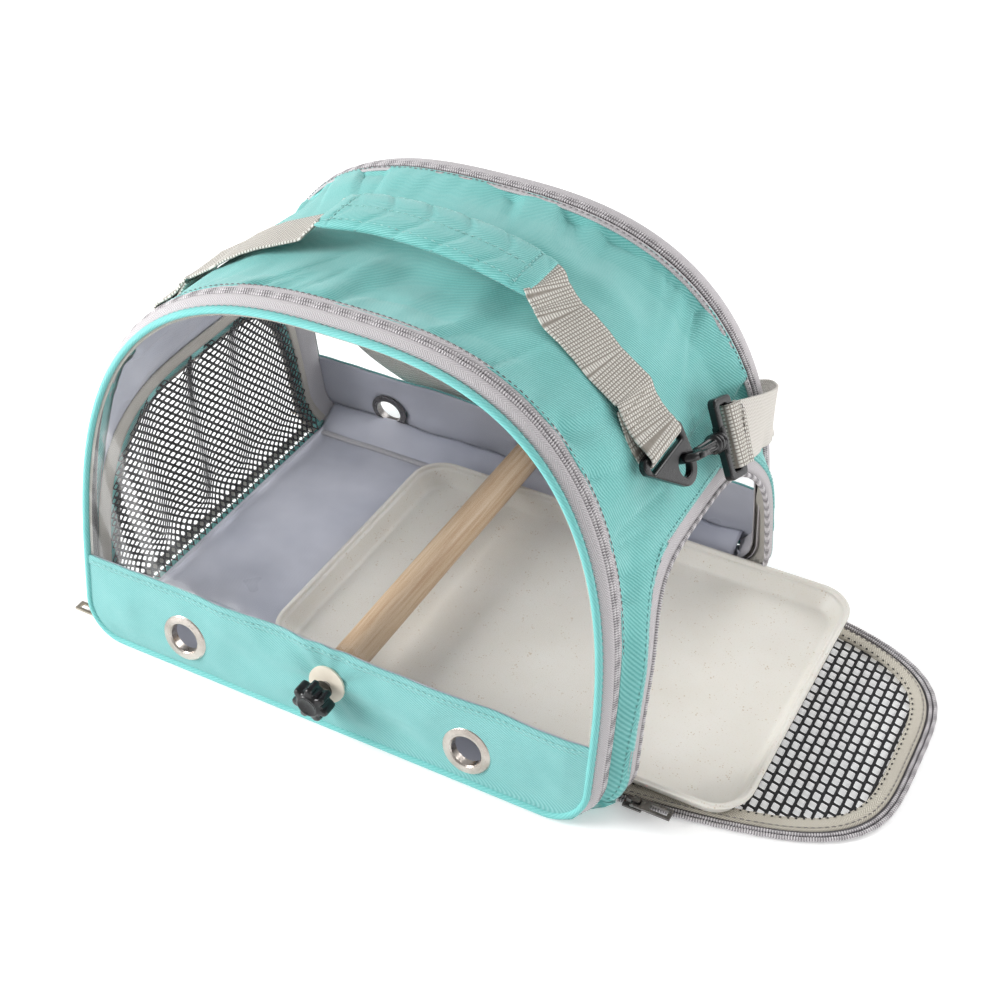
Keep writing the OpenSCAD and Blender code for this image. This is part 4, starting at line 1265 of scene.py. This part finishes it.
# %% Tray
TRAY_L, TRAY_W, TRAY_X, TRAY_Z = 328.0, 215.0, 97.0, FLOOR_Z + 0.4
FLAT_ROWS = [(60, 30, 8), (40, 24, 10)]
WALL = [
    (13.5, 14, 2.0), (11.6, 15, 2.4), (10.2, 16, 3.6), (6.6, 18, 11.2), (5.8, 18.5, 12.6), (5.0, 19, 13.3),
    (4.1, 20, 13.5), (3.7, 20.3, 13.9), (3.4, 20.6, 15.2), (2.9, 21, 15.8), (1.9, 22, 16.0),
    (0.8, 23.3, 15.8), (0.05, 24, 14.9), (0.1, 24, 13.9), (0.8, 23, 13.5), (1.9, 22, 13.4), (3.2, 21, 11.6),
    (8.0, 17, 1.6), (9.4, 16, 0.4), (11.5, 15, 0.0),
]
sections = [(*row, 2.0) for row in FLAT_ROWS] + [(inset, inset, r, z) for inset, r, z in WALL]
sections += [(*row, 0.0) for row in FLAT_ROWS[::-1]]
rows = []
for inset_x, inset_y, r, z in sections:
    loop = round_rect(TRAY_L - 2 * inset_x, TRAY_W - 2 * inset_y, r, 12)
    rows.append([(TRAY_X + a, b, TRAY_Z + z) for a, b in loop])
solid_skin("tray_shell", np.array(rows), TRAY, "tray", replaces=("tray",))
print("tray:", TRAY_L, "x", TRAY_W, "mm")

# %% [markdown]
# ## Knobs
# Black star knobs with seven soft lobes. A star could be cut from a cylinder, but a moulded knob has no
# sharp edge. So the outline is a smooth wave, and each layer blends it with a circle.


# %% Knobs
def knob_radius(angle):
    """Seven soft lobes. tanh flattens their tops and the hollows between them."""
    turned = 7 * (angle - math.radians(12 + 360 / 14))
    return 11.0 + 1.75 * math.tanh(1.5 * math.cos(turned)) / math.tanh(1.5)


def make_knob(where, side):
    """Knob in layers: distance from the panel, share of the radius, and share of the lobes."""
    base = front_y(0, PERCH_Z) - 5.6
    layers = [
        (0, 0.05, 0), (0, 0.45, 0), (0.3, 0.5, 0), (5.4, 0.52, 0), (6.0, 0.62, 0.35), (6.1, 0.9, 0.9),
        (6.7, 0.985, 1), (8.2, 1.0, 1), (14.5, 1.0, 1), (16.2, 0.975, 1), (17.0, 0.9, 0.95),
        (17.3, 0.78, 0.6), (17.5, 0.68, 0.2), (18.1, 0.62, 0), (18.6, 0.56, 0), (18.3, 0.5, 0),
        (17.4, 0.4, 0), (17.1, 0.2, 0), (17.0, 0.02, 0),
    ]
    pts = np.zeros((len(layers), 112, 3))
    for i, (d, f, lobes) in enumerate(layers):
        for k in range(112):
            a = 2 * math.pi * k / 112
            r = f * (lobes * knob_radius(a) + (1 - lobes) * 12.0)
            pts[i, k] = (PERCH_X + r * math.cos(a), (base - d) * side, PERCH_Z + r * math.sin(a))
    surface(f"{where}_star_knob", pts, BLACK, f"{where}_knob", wrap_v=True, flip=side < 0,
            replaces=(f"{where}_knob",))


make_knob("front", 1)
make_knob("rear", -1)

# %% [markdown]
# ## Handle
# A padded sleeve on top, quilted with slanted seams, and basket webbing down to a ring at each end. Padding
# could be inflated in a simulation, but here the seams have to stay even, so their depth is a formula.


# %% Handle
def grip_height(x):
    s = (x - GRIP_X) / (GRIP_L / 2)
    return GRIP_Z - 10 * abs(s) ** 2.2 - 4 * s


def grip_fullness(x):
    """1 over most of the grip, falling to its flat sewn ends."""
    return max(1 - (abs(x - GRIP_X) / (GRIP_L / 2 + 0.6)) ** 9, 0.02) ** 0.5


def quilt_sink(x, y):
    """Depth of the sewn lines in the sleeve: one along the middle and a row of slanted ones on each side."""
    fold = abs(((x - GRIP_X + 300 + abs(y) * 0.7) % 25) - 12.5)
    slant = 1.0 * math.exp(-((12.5 - fold) / 2.4) ** 2) * min(abs(y) / 3, 1)
    ends = math.exp(-((GRIP_L / 2 - 9 - abs(x - GRIP_X)) / 1.2) ** 2)
    return max(slant, 1.0 * math.exp(-(y / 2.0) ** 2), 1.2 * ends) * grip_fullness(x)


stations, around = 190, 56
sleeve = np.zeros((stations, around, 3))
for i, x in enumerate(np.linspace(GRIP_X - GRIP_L / 2, GRIP_X + GRIP_L / 2, stations)):
    f = grip_fullness(x)
    half_w, half_t = 19.3 + 1.5 * f, 1.2 + 3.5 * f
    for k in range(around):
        a = 2 * math.pi * k / around
        c, s = math.cos(a), math.sin(a)
        y = math.copysign(half_w * abs(c) ** 0.55, c)
        z = math.copysign(half_t * abs(s) ** 0.8, s)
        sink = quilt_sink(x, y) if s > 0 else 0.0
        sleeve[i, k] = (x, HANDLE_Y + y, grip_height(x) + z - sink + 0.5 * ripple(x, y, z, 18, 4.0))
grip = solid_skin("grip_sleeve", sleeve, TEAL, "carrier", across=(1, 2), replaces=("handle_grip",))
print("grip:", GRIP_L, "mm long")


def on_grip(x, y):
    """Point on top of the sleeve."""
    crown = (1.2 + 3.5 * grip_fullness(x)) * max(1 - (abs(y) / 21) ** 2.6, 0) ** 0.4
    return (x, HANDLE_Y + y, grip_height(x) + crown - quilt_sink(x, y) + 0.1)


ends = np.linspace(GRIP_X - GRIP_L / 2 + 4, GRIP_X + GRIP_L / 2 - 4, 200)
for label, y in (("middle", 0.0), ("front", -17.0), ("rear", 17.0)):
    row = np.array([on_grip(x, y) for x in ends])
    stitch_row(f"grip_{label}_stitches", row, (0, 0, 1), THREAD, "carrier", gap=1.8)
for label, x in (("left", GRIP_X - GRIP_L / 2 + 9), ("right", GRIP_X + GRIP_L / 2 - 9)):
    row = np.array([on_grip(x, y) for y in np.linspace(-18, 18, 200)])
    stitch_row(f"grip_{label}_end_stitches", row, (0, 0, 1), THREAD, "carrier", length=2.6, r=0.45)

BAR_Z, BAR_OFF = 196.0, 7.5
BAR_X = arch_half(BAR_Z, 4.0)
TILT = math.radians(28.684)


def ring_space(p, side=1):
    """Point beside the ring's bar: p is to the rear, up the bag, and out of it."""
    a, b, c = p
    x = c * math.cos(TILT) - b * math.sin(TILT)
    z = b * math.cos(TILT) + c * math.sin(TILT)
    return np.array([(BAR_X + x) * side, RING_Y + a, BAR_Z + z])


def web_middle(x, z):
    """Middle line of the right webbing, from the grip down to the ring's bar and to its depth."""
    a, b = PANEL_W / 2 + 5.2, PANEL_H + 5.2 - ARCH_START

    def rise(w):
        return ARCH_START + (b - 1.2) * (1 - (w / (a - 1.2)) ** ARCH_POWER) ** (1 / ARCH_POWER)

    line = [(x - 6, z + 0.4), (x + 0.6, z - 0.2), (x + 5, (z + rise(x + 8)) / 2 + 1.5),
            (x + 11, rise(x + 11) + 3.2)]
    for deg in range(70, 33, -4):
        c, s = math.cos(math.radians(deg)), math.sin(math.radians(deg))
        if a * c ** (2 / ARCH_POWER) > x + 13:
            line.append((a * c ** (2 / ARCH_POWER), ARCH_START + b * s ** (2 / ARCH_POWER)))
    last = len(line) - 4
    return [(px, HANDLE_Y + (RING_Y - HANDLE_Y) * min(max((i - 1) / last, 0), 1), pz)
            for i, (px, pz) in enumerate(line)]


def squared(wide, line):
    """Directions made square to a line, with unit length, and the line's own directions."""
    t = directions(line)
    wide = np.broadcast_to(np.asarray(wide, float), t.shape)
    wide = wide - t * np.einsum("ij,ij->i", wide, t)[:, None]
    return wide / np.linalg.norm(wide, axis=1, keepdims=True), t


def make_webbing(where, side):
    """Webbing down one shoulder of the bag, round the ring's bar and back under itself, with two seams."""
    x = GRIP_L / 2 + GRIP_X * side
    line = [p for p in web_middle(x, grip_height(x * side)) if p[2] > 230]
    tail = []
    for deg in np.linspace(80, 270, 14):
        a = math.radians(deg)
        tail.append(ring_space((0, 4.4 * math.cos(a), BAR_OFF + 4.4 * math.sin(a))))
    upper = [ring_space(p) for p in ((5.2, 31, 2.9), (3.4, 24, 3.6), (1.8, 17, 5.2), (0.6, 11, 7.6),
                                     (0, 6, 10.2))]
    under = [ring_space(p) for p in ((0, 5, 2.4), (0.7, 12, 1.7), (2.4, 20, 1.5), (3.8, 26, 1.4))]
    pts = np.array(line + [tuple(p) for p in upper + tail + under])
    pts = smooth_route(resample(pts, 60), 170)
    pts[:, 0] *= side
    wide, t = squared((0, 1, 0), pts)
    out = np.cross(t, wide) * side
    if out[20][2] < 0:
        out = -out
    sweep(f"webbing_{where}", pts, wide, out, webbing_section(), BASKET, "carrier",
          replaces=(f"handle_webbing_{where}",))
    for label, up, lift in (("a", 27.0, 3.9), ("b", 18.5, 5.4)):
        row = np.array([ring_space((y, up, lift), side) for y in np.linspace(-17.5, 17.5, 60)])
        normal = ring_space((0, 0, 1), side) - ring_space((0, 0, 0), side)
        stitch_row(f"webbing_{where}_stitches_{label}", row, normal, STRAP_THREAD, "carrier", length=2.8,
                   gap=1.0, r=0.42)


make_webbing("right", 1)
make_webbing("left", -1)
print("webbing:", WEB_W, "mm wide")

# %% [markdown]
# ## Rings, snap hooks and swivels
# Black moulded plastic: a rounded triangle on the webbing, and a hook with a swivel eye closed round it.
# Boxes with a bevel would do for a toy, but moulded parts swell and taper. So flat frames are outlines with
# a rounded edge, the hook is a section swept round a circle, and the turned parts are lathed.


# %% Rings and hooks
def hull_loop(circles, count):
    """Closed outline round several circles."""
    pts = []
    for deg in np.linspace(0, 360, 720, endpoint=False):
        d = np.array([math.cos(math.radians(deg)), math.sin(math.radians(deg))])
        best = max(circles, key=lambda c: d[0] * c[0] + d[1] * c[1] + c[2])
        pts.append((best[0] + d[0] * best[2], best[1] + d[1] * best[2]))
    return resample(pts, count, closed=True)


def moulded_loop(name, flat_pts, place, section, body, **rest):
    """Sweeps a rounded section round a flat closed line. place maps (a, b, c) into space."""
    n = outward(flat_pts, True)
    path = np.array([place((p[0], p[1], 0)) for p in flat_pts])
    across = np.array([place((p[0] + q[0], p[1] + q[1], 0)) for p, q in zip(flat_pts, n)]) - path
    out = np.array([place((p[0], p[1], 1)) for p in flat_pts]) - path
    return sweep(name, path, across, out, section, BLACK, body, closed=True, solid=True, **rest)


def plate(name, outlines, thick, bevel, place, **rest):
    """Flat moulding with rounded edges and holes. The first outline is the outer one."""
    curve = bpy.data.curves.new(name, "CURVE")
    curve.dimensions, curve.fill_mode = "2D", "BOTH"
    curve.extrude, curve.bevel_depth, curve.bevel_resolution = thick / 2 - bevel, bevel, 3
    curve.offset = -bevel
    for line in outlines:
        spline = curve.splines.new("POLY")
        spline.points.add(len(line) - 1)
        for point, (a, b) in zip(spline.points, line):
            point.co = (a, b, 0, 1)
        spline.use_cyclic_u = True
    shape = bpy.data.objects.new(name + "_outline", curve)
    flat = bpy.data.meshes.new_from_object(shape)
    work = bmesh.new()
    work.from_mesh(flat)
    bmesh.ops.remove_doubles(work, verts=work.verts, dist=0.001)
    work.verts.ensure_lookup_table()
    verts = [place(tuple(v.co)) for v in work.verts]
    faces = [[v.index for v in f.verts] for f in work.faces]
    work.free()
    bpy.data.objects.remove(shape)
    bpy.data.curves.remove(curve)
    bpy.data.meshes.remove(flat)
    uvs = [[(verts[k][1], verts[k][2]) for k in face] for face in faces]
    made = add_mesh(name, verts, faces, BLACK, "carrier", uvs, solid=True, **rest)
    made.modifiers.new("normals", "WEIGHTED_NORMAL")


def make_ring(where, side):
    outer = hull_loop([(19.8, -2.9, 5.2), (-19.8, -2.9, 5.2), (12.0, -22.0, 12.0)], 160)
    slot = [(a, b - 5.35) for a, b in round_rect(39.6, 6.1, 2.0, 6)]
    hole = [(11.0 + a, -21.5 + b) for a, b in circle(6.4, 40)]
    plate(f"ring_{where}_moulded", (outer, slot, hole), 4.8, 1.3,
          lambda p: ring_space((p[0], p[1], p[2] + BAR_OFF), side), replaces=(f"ring_{where}",))


HOOK_TURN = math.radians(-18.0)


def hook_space(p, side=1):
    """Point on the hook: along the shank, across it, and out of the bag."""
    a = p[0] * math.cos(HOOK_TURN) - p[1] * math.sin(HOOK_TURN)
    b = p[0] * math.sin(HOOK_TURN) + p[1] * math.cos(HOOK_TURN)
    return ring_space((20.6 + a, -21.5 + b, BAR_OFF + p[2]), side)


def lathe(name, rows, side, flutes=0.0):
    """Turns a row of (along, radius) round the shank's axis, with six flutes over its middle."""
    pts = np.zeros((len(rows), 72, 3))
    for i, (a, base) in enumerate(rows):
        for k in range(72):
            t = 2 * math.pi * k / 72
            r = base * (1 + flutes * math.cos(6 * t) * soft_step(a, 8, 10) * soft_step(a, 27, 24))
            pts[i, k] = hook_space((a, r * math.cos(t), r * math.sin(t)), side)
    surface(name, pts, BLACK, "carrier", wrap_v=True, solid=True)


def make_hook(where, side):
    loop = np.array(circle(6.8, 64))
    moulded_loop(f"snap_hook_{where}_moulded", loop, lambda p: hook_space((p[0], p[2], p[1]), side),
                 [(1.1 * a, 1.2 * b) for a, b in circle(2.15, 14)], "carrier",
                 replaces=(f"snap_hook_{where}",))
    rows = [(7.0, 0.3), (7.0, 2.6), (8.0, 3.2), (9.0, 3.3)]
    rows += [(a, 3.1 + 0.016 * (a - 10) ** 1.6) for a in np.linspace(10.0, 26.0, 12)]
    rows += [(27.2, 4.7), (27.8, 5.7), (28.4, 6.0), (29.4, 6.0), (30.0, 5.7), (30.2, 0.3)]
    lathe(f"snap_hook_{where}_shank", rows, side, flutes=0.13)
    tab = [(-2.2, 8.0), (-2.4, 9.8), (-1.2, 10.6), (1.0, 10.4), (4.5, 9.8), (7.6, 10.2), (9.0, 9.2),
           (9.2, 7.4), (8.4, 5.6), (6.4, 5.4), (2, 7.6)]
    pts = np.array([[hook_space((a, w, c), side) for a, c in tab] for w in (-1.7, -1.3, 1.3, 1.7)])
    mid = pts.mean(axis=(0, 1))
    pts[::3] = mid + (pts[::3] - mid) * 0.94
    solid_skin(f"snap_hook_{where}_catch", pts, BLACK, "carrier")
    rows = [(30.4, 0.3), (30.4, 5.4), (30.9, 6.1), (32.4, 6.2), (33.0, 5.4), (34.2, 5.4), (34.8, 6.2),
            (36.8, 6.2), (37.4, 5.6), (37.5, 0.3)]
    lathe(f"swivel_{where}_barrel", rows, side)
    outer = hull_loop([(40.4, 21.0, 3.8), (40.4, -21.0, 3.8), (54.0, 21.6, 3.0), (54.0, -21.6, 3.0)], 150)
    slot = [(46.1 + a, b) for a, b in round_rect(8.2, 40.0, 1.5, 5)]
    plate(f"swivel_{where}_frame", (outer, slot), 5.6, 1.3, lambda p: hook_space(p, side),
          replaces=(f"swivel_eye_{where}",))
    boss = [(39.3 + a, b) for a, b in round_rect(4.6, 17.0, 1.2, 5)]
    plate(f"swivel_{where}_boss", (boss,), 7.4, 1.2, lambda p: hook_space(p, side))


make_ring("right", 1)
make_ring("left", -1)
make_hook("right", 1)
make_hook("left", -1)


def make_strap_fold(where, side, path, wide, face):
    """The strap's end folded round the outer bar of the eye and sewn to itself."""
    bar = [hook_space((a, 0, c), side) for a, c in
           ((57.6, -3.9), (55.5, -4.2), (51.5, -4.3), (49.0, -3.6), (47.7, -1.6), (47.7, 1.6), (49.0, 3.6),
            (51.5, 4.3), (55.5, 4.2), (57.6, 3.9))]
    face = face if np.dot(face[0], bar[-1] - bar[0]) > 0 else -face
    inner = [path[k] - face[k] * 1.75 for k in (6, 4, 2)]
    outer = [path[k] + face[k] * 1.75 for k in (2, 4, 6, 7)]
    line = smooth_route(resample(inner + bar + outer, 40), 90)
    across, t = squared(wide[0], line)
    sweep(f"strap_fold_{where}", line, across, np.cross(t, across), webbing_section(), BASKET, "carrier")
    row = np.array([path[4] + face[4] * 2.6 + wide[4] * w for w in np.linspace(-17.5, 17.5, 60)])
    stitch_row(f"strap_fold_{where}_stitches", row, face[4], SEAM_THREAD, "carrier", length=2.6, gap=1.2,
               r=0.3)


make_strap_fold("right", 1, strap_path, wide, face)
make_strap_fold("left", -1, strap_path[::-1], wide[::-1], face[::-1])
print("rings, hooks and eyes: 2 of each")

# %% [markdown]
# ## Metal and hidden pieces
# The eyelets, washers, screws, sliders and pull tabs are pressed or cast, and their solids already have the
# right shape. Building them again would gain nothing, so they only take a better material.

# %% Kept solids
for names, mat in (
    (("front_eyelets",), NICKEL), (("rear_eyelets",), GUNMETAL), (("front_washer", "rear_washer"), CREAM),
    (("front_screw", "rear_screw"), STEEL), (("floor_board",), BOARD), (("strap_slider",), BLACK),
    (("front_zip_slider", "rear_zip_slider", "front_pull_tab", "rear_pull_tab"), BRONZE),
    (("flap_zip_slider", "flap_pull_tab"), GUNMETAL),
):
    for name in names:
        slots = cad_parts[name].data.materials
        for k in range(len(slots)):
            slots[k] = mat
        print(name, "is", mat.name)

# %% [markdown]
# ## Floor and light
# The photograph has a white room with soft light, brightest from the front left. Behind the bag on the
# right is a wider and weaker light, and a faint one fills the right end. A picture of a studio could light
# it too, but three lights and an even room are easier to match. The floor glows a little, and more with
# distance, so that it stays white to the edge in every view.

# %% Floor and light
FLOOR_HALF, FLOOR_DROP = 8.0, -0.0006
corners = [(-1, -1), (1, -1), (1, 1), (-1, 1)]
floor_mesh = bpy.data.meshes.new("studio_floor")
floor_mesh.from_pydata([(a * FLOOR_HALF, b * FLOOR_HALF, FLOOR_DROP) for a, b in corners], [], [(0, 1, 2, 3)])
floor_obj = bpy.data.objects.new("studio_floor", floor_mesh)
bpy.context.scene.collection.objects.link(floor_obj)
floor_mat, t = new_material("studio_floor")
lit = node(t, "BsdfDiffuse", Color=(0.93, 0.93, 0.93, 1))
reach = node(t, "VectorMath", node(t, "TexCoord", out="Object"), operation="LENGTH", out="Value")
far = node(t, "MapRange", reach, 0.5, 1.4, 0.25, 0.9)
glow = node(t, "Emission", Color=(1, 1, 1, 1), Strength=far)
node(t, "OutputMaterial", node(t, "AddShader", lit, glow))
floor_mesh.materials.append(floor_mat)

world = bpy.data.worlds.new("studio")
bpy.context.scene.world = world
world.use_nodes = True
t = world.node_tree
t.nodes.clear()
seen = node(t, "LightPath")
up = node(t, "SeparateXYZ", node(t, "TexCoord", out="Generated"), out=2)
level = node(t, "MapRange", up, 0.0, 1.0, 0.66, 0.36)
room = node(t, "Background", Color=(1, 1, 1, 1), Strength=level)
white = node(t, "Background", Color=(1, 1, 1, 1), Strength=1.0)
node(t, "OutputWorld", node(t, "MixShader", seen, room, white))

for name, place, target, size, watts in (
    ("key", (-1.35, -1.0, 0.95), (0.0, 0.0, 0.1), 1.0, 42),
    ("back", (0.75, 1.25, 1.25), (0.05, 0.0, 0.1), 1.4, 17),
    ("right", (1.6, 0.0, 0.45), (0.0, 0.0, 0.12), 0.9, 4.5),
):
    data = bpy.data.lights.new(name, "AREA")
    data.shape, data.size, data.energy = "DISK", size, watts
    lamp = bpy.data.objects.new(name, data)
    lamp.location = place
    lamp.rotation_euler = (Vector(target) - Vector(place)).to_track_quat("-Z", "Y").to_euler()
    bpy.context.scene.collection.objects.link(lamp)
    print(name, "light:", watts, "W")
bpy.context.scene.view_settings.view_transform = "Standard"
